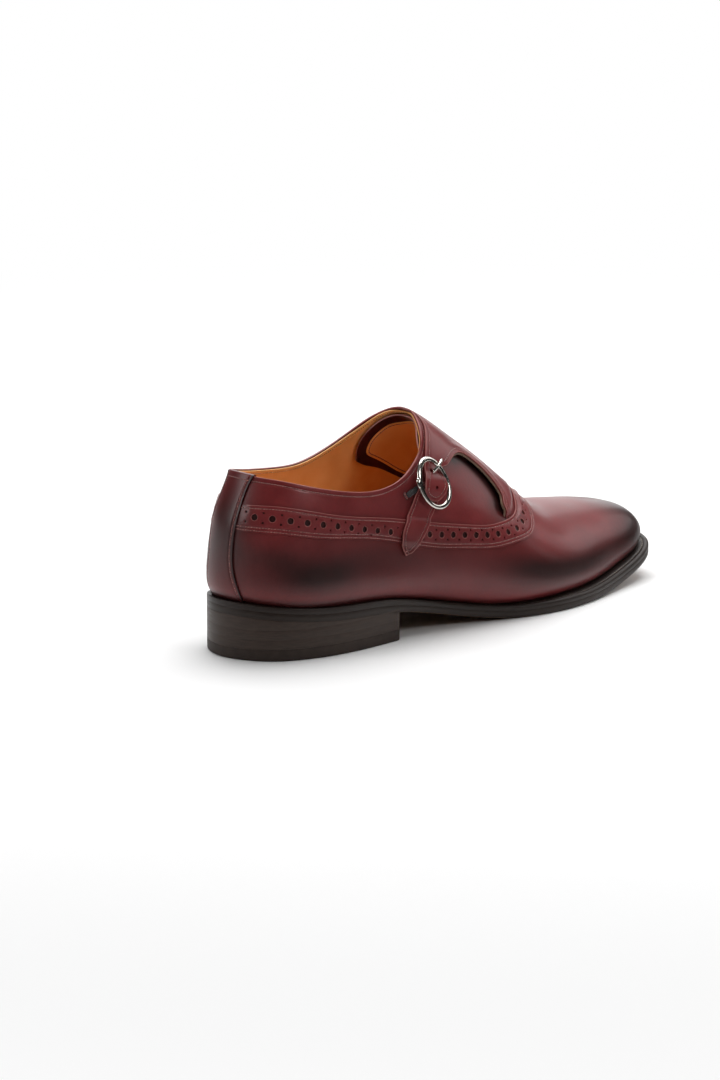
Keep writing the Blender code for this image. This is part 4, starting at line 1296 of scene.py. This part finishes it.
rows = []
for up in np.r_[-0.014:1:84j]:
    s = strip_across(up)
    in_from_edge = np.abs(s) * (1 / np.maximum(np.abs(share), 0.01) - 1)
    dip = STRIP_DIP * np.exp(-((in_from_edge - STRIP_SEAM) / ROW_DIP_WIDTH) ** 2)
    rows.append(skin(s, 1 - up * collar_height(np.abs(s))[:, 0], STRIP_LIFT - dip))
s = strip_across(1.0)
top = 1 - collar_height(np.abs(s))[:, 0]
wall = CALF_THICKNESS + LINING_THICKNESS
middle = skin(s, top, -0.5 * wall)
upward = skin(s, top - 0.02) - skin(s, top + 0.02)
upward /= np.linalg.norm(upward, axis=1, keepdims=True)
outward = skin(s, top, 1.0) - skin(s, top)
for turn in np.radians([15, 35, 55, 75, 90, 105, 125, 145, 165]):
    reach = 0.5 * wall + (STRIP_LIFT if turn < 0.5 * np.pi else FOLD_THICKNESS)
    rows.append(middle + outward * reach * np.cos(turn) + upward * STRIP_LIFT * np.sin(turn))
for depth in np.linspace(0.0, FOLD_DEPTH, 9):
    drop = depth * np.sqrt(np.clip(1 - (0.85 * share) ** 2, 0.0, 1.0)) / BACK_HEIGHT
    rows.append(skin(s, top + drop, -wall - FOLD_THICKNESS))
faces = [(a, d, c, b) for a, b, c, d in quads(len(rows), STRIP_COLUMNS)]
strip = lay("heel_strip", np.concatenate(rows), faces)
thicken(strip, STRIP_THICKNESS, offset=-1.0, bevel=0.2)
strip_sides = [trace([(s, 1 - g) for g, s in STRIP_FRONT]),
               trace([(-s - further_in(g / STRIP_TOP_G)[0, 0], 1 - g) for g, s in STRIP_FRONT])]
# Painted shade darkens the strip along both its side edges.
paint(strip, width=1.1, shade_painted_edges=[skin(*path.T, STRIP_LIFT - 0.4) for path in strip_sides])
finish(strip, calf, "calf")
strip_seams = [beside(path[20:], -side * STRIP_SEAM) for path, side in zip(strip_sides, (1, -1))]
top_seam = trace([(s, 1 - collar_height(abs(s))[0, 0] + 0.024) for s in np.linspace(-13.0, 11.0, 9)])
sew("heel_strip_stitches", seam_rows(strip, strip_seams + [top_seam]), burgundy_thread, "calf")


# The tongue: calf with its edge turned over to the inside, and a tan lining patch sewn on the
# inner face up to the turned edge. It sits under the quarters, which hold it down.
TONGUE_TOP = [
    # s      c
    (129.0, -0.375), (127.8, -0.318), (129.0, -0.262), (133.2, -0.195), (137.8, -0.136),
    (144.6, -0.040), (146.6, 0.020), (144.8, 0.085), (139.5, 0.165), (134.5, 0.240),
    (133.2, 0.290), (134.0, 0.340),
]
TONGUE_OUTER = [(134.0, 0.340), (165.0, 0.360), (192.0, 0.300)]
TONGUE_TOE = [(192.0, 0.300), (202.0, 0.0), (192.0, -0.300)]
TONGUE_INNER = [(192.0, -0.300), (164.0, -0.375), (146.0, -0.382), (133.0, -0.386), (129.0, -0.375)]
PATCH_TOP = [
    (139.0, -0.338), (134.6, -0.326), (133.9, -0.296), (137.8, -0.216), (143.6, -0.146),
    (149.5, -0.085), (152.0, 0.0), (150.0, 0.085), (145.5, 0.150), (140.5, 0.215), (139.0, 0.290),
]
PATCH_OUTER = [(139.0, 0.290), (165.0, 0.310), (186.0, 0.255)]
PATCH_TOE = [(186.0, 0.255), (194.0, 0.0), (186.0, -0.255)]
PATCH_INNER = [(186.0, -0.255), (164.2, -0.345), (154.3, -0.347), (139.0, -0.338)]
TONGUE_FACE = -3.1
TONGUE_CALF = 1.3
PATCH_THICKNESS = 0.5
PATCH_SEAM = 1.5

turned_calf = calf_finish("turned_edge_calf", "30090d", "3d0f14", "0c0404", "c98d86")
tongue_base = TONGUE_FACE - TONGUE_CALF
patch_base = tongue_base - PATCH_THICKNESS
tongue_edges = [TONGUE_TOP, TONGUE_OUTER, TONGUE_TOE, TONGUE_INNER]
tongue = cut_leather("tongue_calf", round_outline(tongue_edges, 1.5), 2.2,
                     lambda s, c: tongue_base)
thicken(tongue, TONGUE_CALF, offset=1.0, bevel=0.4)
top_rim = trace(TONGUE_TOP)
paint(tongue, [skin(*top_rim.T, tongue_base + 0.6 * TONGUE_CALF)], width=0.8)
finish(tongue, turned_calf, "calf", "tongue")

patch_edges = [PATCH_TOP, PATCH_OUTER, PATCH_TOE, PATCH_INNER]
patch = cut_leather("tongue_lining", round_outline(patch_edges, 1.5), 2.2,
                    lambda s, c: patch_base)
thicken(patch, PATCH_THICKNESS - 0.02, offset=1.0, bevel=0.15)
paint(patch, [skin(*trace(edge).T, patch_base) for edge in (PATCH_TOP, PATCH_INNER)], width=0.8)
finish(patch, tan, "lining")
patch_seams = [within(edge, PATCH_SEAM) for edge in (PATCH_TOP, PATCH_INNER)]
sew("tongue_stitches", seam_rows(patch, patch_seams, start=FROM_INSIDE), burgundy_thread, "calf")


# The buckle's tab: calf that wraps the bar and lies down over the quarter and the band, sewn
# all round near its edge.
TAB_THICKNESS = 1.2
TAB_LEFT = [(121.0, 0.442), (117.2, 0.486), (112.3, 0.551), (105.6, 0.643), (102.6, 0.708),
            (102.8, 0.748), (104.6, 0.784)]
TAB_RIGHT = [(104.6, 0.784), (108.7, 0.771), (113.8, 0.731), (120.8, 0.652), (126.3, 0.580),
             (132.5, 0.500), (135.0, 0.442)]
TAB_TOP = [(135.0, 0.442), (128.0, 0.436), (121.0, 0.442)]
TAB_SEAM = 2.0
TAB_RISE = 2.2
TAB_LIFT = 0.3
TAB_OVER_BAND = 0.35


def tab_top(s, c):
    """Height of the tab's face: it steps up on to the band and rises to the bar."""
    inside = smoothstep(-2.0, 1.6, (c - height_at(BAND_TOP, s)) * GIRTH)
    outside = smoothstep(-1.5, 2.5, (c - height_at(BAND_LOWER_ROW, s)) * GIRTH - 1.0)
    on_band = (BAND_THICKNESS + TAB_OVER_BAND) * inside * (1 - 0.75 * outside)
    return TAB_LIFT + TAB_THICKNESS + on_band + TAB_RISE * smoothstep(0.500, 0.445, c)


tab_seams = [within(edge, TAB_SEAM) for edge in (TAB_LEFT, TAB_RIGHT)]
tab = cut_leather("buckle_tab_leather", round_outline([TAB_LEFT, TAB_RIGHT, TAB_TOP], 0.9), 1.1,
                  lambda s, c: tab_top(s, c) - seam_dip(tab_seams, s, c) - TAB_THICKNESS, (),
                  [within(edge, CUT_RIM) for edge in (TAB_LEFT, TAB_RIGHT)])
thicken(tab, TAB_THICKNESS, offset=1.0, bevel=0.35)
tab_rims = map(trace, (TAB_LEFT, TAB_RIGHT))
paint(tab, [skin(*path.T, tab_top(*path.T) - 0.2) for path in tab_rims], width=0.6)
finish(tab, calf, "calf", "buckle_tab")
sew("tab_stitches", seam_rows(tab, tab_seams), burgundy_thread, "calf")


# The elastic: a short ribbed web that lets the buckle give, sewn down with a bar tack.
ELASTIC_EDGES = [[(118.8, 0.455), (110.0, 0.492)], [(110.0, 0.492), (111.6, 0.512)],
                 [(111.6, 0.512), (118.6, 0.478)], [(118.6, 0.478), (118.8, 0.455)]]
ELASTIC_THICKNESS = 0.8
ELASTIC_LIFT = 0.45
RIB_PITCH = 0.95
RIB_HEIGHT = 0.18
BAR_TACK = [(109.5, 0.490), (111.3, 0.514)]
TACK_STEP = 0.4


def web_ribs(s, c):
    """Height of the web's underside, with ribs across its length."""
    along = (s - 110.0) + 0.35 * GIRTH * (c - 0.492)
    return ELASTIC_LIFT + RIB_HEIGHT * np.cos(2 * np.pi * along / RIB_PITCH)


web = cut_leather("ribbed_elastic", round_outline(ELASTIC_EDGES, 0.3), 0.25, web_ribs)
thicken(web, ELASTIC_THICKNESS, offset=1.0, bevel=0.0)
# Black cotton yarn knitted over rubber: matt, with a little fuzz
knit_web = noise_finish("black_ribbed_web", {"Roughness": 0.75, "Sheen Weight": 0.3},
                        [(0.3, "060505"), (0.75, "1c1717")],
                        size=0.4, detail=2.0, strength=0.4, depth=0.1)
finish(web, knit_web, "elastic", "buckle_elastic")
tack = trace(BAR_TACK, TACK_STEP)
tack_rows = [land_on(body, np.array(pair)) for pair in zip(beside(tack, 0.7), beside(tack, -0.7))]
sew("bar_tack", tack_rows, burgundy_thread, "calf", slant=0.0)


# The buckle: cast nickel, polished to a mirror. An oval ring with a boss at its side, a bar that
# the strap passes over, and a prong through the strap's hole.
RING_HALF = (9.8, 12.3)
RING_WIDTH = 2.6
RING_HEIGHT = 2.3
RING_LIFT = 4.5
RING_S = 127.8
BAR_RADIUS = 0.9
BAR_LIFT = 2.8
BOSS_RADIUS = 1.7
TORUS_SECTION = 0.25
PRONG_RADIUS = 0.8
PRONG_PATH = [
    # s      g      lift
    (129.1, 0.586, 2.0), (129.2, 0.592, 2.5), (129.4, 0.600, 3.6), (129.6, 0.608, 4.9),
    (130.4, 0.617, 6.1), (131.8, 0.628, 7.0), (133.6, 0.642, 7.2), (135.3, 0.656, 6.9),
]

# Nickel buffed to a mirror, with a faint uneven haze from handling
nickel = noise_finish("polished_nickel", {"Metallic": 1.0, "Roughness": 0.10},
                      [(0.3, "bdb8b0"), (0.7, "d6d2cb")],
                      size=3.0, detail=5.0, strength=0.06, depth=0.1, gloss=(0.07, 0.16))


def bent_over_last(piece):
    """Moves a piece modelled flat about the buckle's middle, in millimetres, on to the shoe."""
    x, y, z = np.array([vert.co for vert in piece.data.vertices]).T
    places = skin(RING_S + x, 1 - BUCKLE_G - y / GIRTH, z)
    piece.data.vertices.foreach_set("co", world(places).ravel())
    piece.data.update()


bpy.ops.object.select_all(action='DESELECT')
bpy.ops.mesh.primitive_torus_add(major_segments=96, minor_segments=16, major_radius=1.0,
                                 minor_radius=TORUS_SECTION)
buckle = bpy.context.object
buckle.name = "buckle_ring"
flat = np.array([vert.co for vert in buckle.data.vertices])
around = np.arctan2(flat[:, 1], flat[:, 0])
off_rim = (np.hypot(flat[:, 0], flat[:, 1]) - 1.0) / TORUS_SECTION
wide = 0.5 * RING_WIDTH * (1 + 0.18 * np.exp(-((np.abs(around) - np.pi) / 0.7) ** 2))
oval = np.c_[RING_HALF[0] * np.cos(around), RING_HALF[1] * np.sin(around)]
outwards = np.c_[np.cos(around) / RING_HALF[0], np.sin(around) / RING_HALF[1]]
outwards /= np.linalg.norm(outwards, axis=1, keepdims=True)
oval += outwards * (off_rim * wide)[:, None]
thick = flat[:, 2] / TORUS_SECTION * 0.5 * RING_HEIGHT + RING_LIFT
buckle.data.vertices.foreach_set("co", np.c_[oval, thick].ravel())
bent_over_last(buckle)

bpy.ops.object.select_all(action='DESELECT')
bpy.ops.mesh.primitive_cylinder_add(vertices=16, radius=BAR_RADIUS, depth=2 * RING_HALF[0] - 0.5,
                                    location=(0, 0, BAR_LIFT + 0.4), rotation=(0, np.pi / 2, 0))
bar = bpy.context.object
bpy.ops.object.transform_apply(location=True, rotation=True, scale=True)
bpy.ops.object.mode_set(mode='EDIT')
bpy.ops.mesh.select_all(action='SELECT')
bpy.ops.mesh.subdivide(number_cuts=3)
bpy.ops.object.mode_set(mode='OBJECT')
bent_over_last(bar)
bpy.ops.object.select_all(action='DESELECT')
bpy.ops.mesh.primitive_uv_sphere_add(segments=24, ring_count=16, radius=BOSS_RADIUS,
                                     location=(-RING_HALF[0] - 0.9, 0, RING_LIFT - 0.1))
boss = bpy.context.object
boss.scale = (0.9, 1.7, 0.75)
bpy.ops.object.transform_apply(location=True, rotation=True, scale=True)
bent_over_last(boss)
for part in (buckle, bar, boss):
    part.select_set(True)
bpy.context.view_layer.objects.active = buckle
bpy.ops.object.join()
smooth(buckle)
finish(buckle, nickel, "metal", "buckle_frame")


def swept(name, path, radii, sides=16):
    """Round rod along shoe places, its radius given at each, closed at both ends."""
    ahead = np.gradient(path, axis=0)
    ahead /= np.linalg.norm(ahead, axis=1, keepdims=True)
    aside = np.cross(ahead, [0.0, 0.0, 1.0])
    aside /= np.linalg.norm(aside, axis=1, keepdims=True)
    over = np.cross(aside, ahead)
    turn = np.linspace(0, 2 * np.pi, sides, endpoint=False)
    circle = np.cos(turn)[:, None, None] * aside + np.sin(turn)[:, None, None] * over
    places = (path + circle * radii[:, None]).transpose(1, 0, 2)
    far_end = range((len(path) - 1) * sides, len(path) * sides)
    faces = [tuple(range(sides)), tuple(far_end)[::-1]]
    faces += [(a, d, c, b) for a, b, c, d in quads(len(path), sides, closed=True)]
    return lay(name, places.reshape(-1, 3), faces)


knots = len(PRONG_PATH)
along = np.linspace(0, knots - 1, 40)
s, g, lift = spline(np.arange(knots), PRONG_PATH)(along).T
tip = smoothstep(knots - 0.9, knots - 1.5, along)
prong = swept("prong", skin(s, 1 - g, lift), PRONG_RADIUS * (0.35 + 0.65 * np.sqrt(tip)))
smooth(prong)
finish(prong, nickel, "metal", "buckle_prong")


# The outsole: oak-tanned leather 3.7 mm thick, cemented under the welt. Its edge is inked dark
# brown and set with a hot iron, and rounds under to a stained, polished tread.
EDGE_STATIONS = 190
SOLE_WIDE = 15


def sole_profile(s):
    """From under the edge up and over it: the iron leaves it upright, rounded at the bottom."""
    fore = smoothstep(86.0, 99.0, sole_row(s)[:, 0])
    insets = [0.06 + (x - 0.06) * fore for x in (1.9, 1.15, 0.62, 0.26, 0.06)]
    return insets + [0.0, 0.0, 0.03, 0.12], [0.0, 0.07, 0.28, 0.62, 1.10, 1.6, 3.82, 3.88, 3.9]


s = spread(EDGE_STATIONS) * SOLE_EDGE_LENGTH
outsole = slab("leather_outsole", sole_row, s, sole_profile, SOLE_WIDE)


def sole_leather(name, deep, light, line_height):
    """Inked and ironed sole edge: fibre runs along the lifts, waxed to a dull gloss."""
    return noise_finish(name, {"Roughness": 0.42, "Coat Weight": 0.06, "Coat Roughness": 0.3,
                               "Specular IOR Level": 0.22}, [(0.3, deep), (0.7, light)],
                        size=6.0, detail=6.0, strength=0.15, depth=line_height,
                        gloss=(0.34, 0.52), drawn=9.0)


edge_ink = sole_leather("inked_sole_edge", "1f1612", "2a201a", 0.15)
finish(outsole, edge_ink, "sole_leather", "outsole")
tread_leather = sole_leather("polished_tread_leather", "5a3a22", "74502f", 0.10)
outsole.data.materials.append(tread_leather)
for face in outsole.data.polygons:
    if face.normal.z < -0.85:
        face.material_index = 1


# The welt: a strip of sole leather that the upper is sewn to, its ledge stitched down to the
# outsole from the waist round the toe. Its outer corner is rounded off and inked.
WELT_BEVEL_HEEL = 0.6
WELT_BEVEL_FORE = 2.0
WELT_UNDER_UPPER = 5.5
WELT_STITCH_PITCH = 2.6
WELT_STITCH_INSET = 3.4
WELT_STITCH_WIDTH = 1.0
WELT_STITCH_FROM = 96.0
WELT_GROOVE = (2.4, 3.0, 3.4, 3.8, 4.4)

low, high = OUTSOLE_THICKNESS + GAP, OUTSOLE_THICKNESS + GAP + WELT_THICKNESS


def welt_profile(s):
    """Up the welt's edge, round its corner and in over the groove that its stitches lie in."""
    fore = np.clip((s / SOLE_EDGE_LENGTH - 0.30) / 0.10, 0.0, 1.0)
    bevel = WELT_BEVEL_HEEL + (WELT_BEVEL_FORE - WELT_BEVEL_HEEL) * fore
    turn = np.linspace(0, np.pi / 2, 7)
    insets = [0.12, 0.03, 0.0] + [bevel * (1 - np.cos(t)) for t in turn]
    heights = [low - z for z in (0.13, 0.10, 0.02)]
    heights += [high - 0.8 * bevel + 0.8 * bevel * np.sin(t) for t in turn]
    insets += [bevel + (x - WELT_BEVEL_FORE) for x in WELT_GROOVE]
    groove = 0.45 * np.exp(-((np.array(WELT_GROOVE) - WELT_STITCH_INSET) / 0.5) ** 2)
    return insets, heights + [high - depth * fore for depth in groove]


welt_rows = [edge_rows(sole_row, side, s, welt_profile) for side in (LATERAL, MEDIAL)]
under_upper = []
for side, rows in zip((LATERAL, MEDIAL), welt_rows):
    u, v = edge_plan(last_row, side, s / SOLE_EDGE_LENGTH * FEATHER_LENGTH, WELT_UNDER_UPPER)
    inside = [on_tread(u, v, z) for z in (high, low - 0.25)]
    under_upper.append(np.concatenate([rows, np.stack(inside, axis=1)], axis=1))
welt = tube("welt_strip", np.concatenate([under_upper[0], under_upper[1][-2::-1]]))
smooth(welt)
welt_ink = sole_leather("inked_welt", "1c1410", "271c17", 0.15)
finish(welt, welt_ink, "sole_leather", "welt")

ledges = []
for side in (LATERAL, MEDIAL):
    u, v = edge_plan(sole_row, side, np.linspace(0, SOLE_EDGE_LENGTH, 2400), WELT_STITCH_INSET)
    ledges.append(on_tread(u, v, high)[u > WELT_STITCH_FROM])
route = np.concatenate([ledges[0], ledges[1][::-1]])
run = run_of(route)
spots = places_at(np.linspace(0, run[-1], round(run[-1] / WELT_STITCH_PITCH) + 1), run, route)
welt_thread = thread_finish("waxed_welt_thread", "4c443c", "82776a")
sew("welt_stitches", [land(welt, spots + (0, 0, 4.0), spots)], welt_thread, "sole_leather",
    pitch=WELT_STITCH_PITCH, width=WELT_STITCH_WIDTH, slant=0.0)


# The heel: lifts of sole leather stacked under the seat, pressed, trimmed and inked with the
# sole's edge, on a rubber top piece. Its breast is straight, further forward on the inner side.
TOP_PIECE_THICKNESS = 6.0
BREAST_LATERAL = 88.7
BREAST_MEDIAL = 96.7
LIFT_HEIGHT = 5.2
LIFT_GROOVE = 0.04
HEEL_ROUND = 0.08
UNDER_SOLE = 0.05


def heel_outline(inset):
    """Plan places round the heel from one end of the breast to the other."""
    sides = []
    for side, breast in ((LATERAL, BREAST_LATERAL), (MEDIAL, BREAST_MEDIAL)):
        plan = np.transpose(edge_plan(sole_row, side, np.r_[0:40:60j, 41:140:90j], inset))
        run = run_of(plan)
        end = np.interp(breast - inset, plan[:, 0], run)
        sides.append(places_at(np.linspace(0, end, 90), run, plan))
    return np.concatenate([sides[0][::-1], sides[1][1:]])


def heel_piece(name, levels):
    """Block on the heel's outline: levels gives insets and, for each place round it, heights."""
    rings = []
    for inset, height in levels:
        plan = heel_outline(inset)
        plan = np.concatenate([plan, filled(plan[-1:], plan[:1], 24)[0]])
        rings.append(np.c_[plan, height(plan[:, 0])])
    count, wide = len(rings), len(rings[0])
    faces = [tuple(range(wide)), tuple(range((count - 1) * wide, count * wide))]
    made = lay(name, np.concatenate(rings), faces + quads(count, wide, closed=True))
    turned_out(made)
    smooth(made)
    return made


def level(z, share=0.0):
    """Height between the top piece and the outsole's underside."""
    return lambda u: (1 - share) * z + share * (tread_spline(u)[:, 0] - UNDER_SOLE)


base = TOP_PIECE_THICKNESS + 0.06
stack_levels = [(HEEL_ROUND, level(base)), (0.02, level(base + 0.05)), (0.0, level(base + 0.2))]
for joint in (1, 2):
    for step, groove in ((-0.35, 0.0), (-0.12, LIFT_GROOVE), (0.12, LIFT_GROOVE), (0.35, 0.0)):
        stack_levels.append((groove, level(base + joint * LIFT_HEIGHT + step)))
stack_levels += [(0.0, level(base, 0.98)), (0.02, level(base, 0.995)), (HEEL_ROUND, level(base, 1.0))]
stack = heel_piece("stacked_heel", stack_levels)
heel_ink = sole_leather("inked_heel_lifts", "30251f", "3c2f28", 0.15)
finish(stack, heel_ink, "sole_leather", "heel_stack")

top_levels = [(1.2, 0.0), (0.5, 0.1), (0.12, 0.5), (0.0, 1.0), (0.0, TOP_PIECE_THICKNESS - 0.2),
              (0.02, TOP_PIECE_THICKNESS - 0.05), (HEEL_ROUND, TOP_PIECE_THICKNESS)]
rubber_lift = heel_piece("rubber_top_piece", [(inset, level(z)) for inset, z in top_levels])
# Black rubber, scuffed brown, with the fine pits of its mould
rubber, tree, shader = new_material("moulded_black_rubber", {"Roughness": 0.55,
                                                             "Specular IOR Level": 0.25})
place = add(tree, "TexCoord").outputs["Object"]
scuff = add(tree, "TexNoise", {"Vector": place, "Scale": 1 / (5.0 * MM), "Detail": 6.0})
tone = add(tree, "ValToRGB", {"Fac": scuff.outputs["Fac"]}, [(0.3, "2a201b"), (0.72, "362a24")])
tree.links.new(tone.outputs["Color"], shader.inputs["Base Color"])
mould = add(tree, "TexNoise", {"Vector": place, "Scale": 1 / (0.7 * MM), "Detail": 2.0})
pitted = add(tree, "Bump", {"Strength": 0.2, "Distance": 0.08 * MM, "Height": mould.outputs["Fac"]})
tree.links.new(pitted.outputs[0], shader.inputs["Normal"])
finish(rubber_lift, rubber, "rubber", "top_piece")
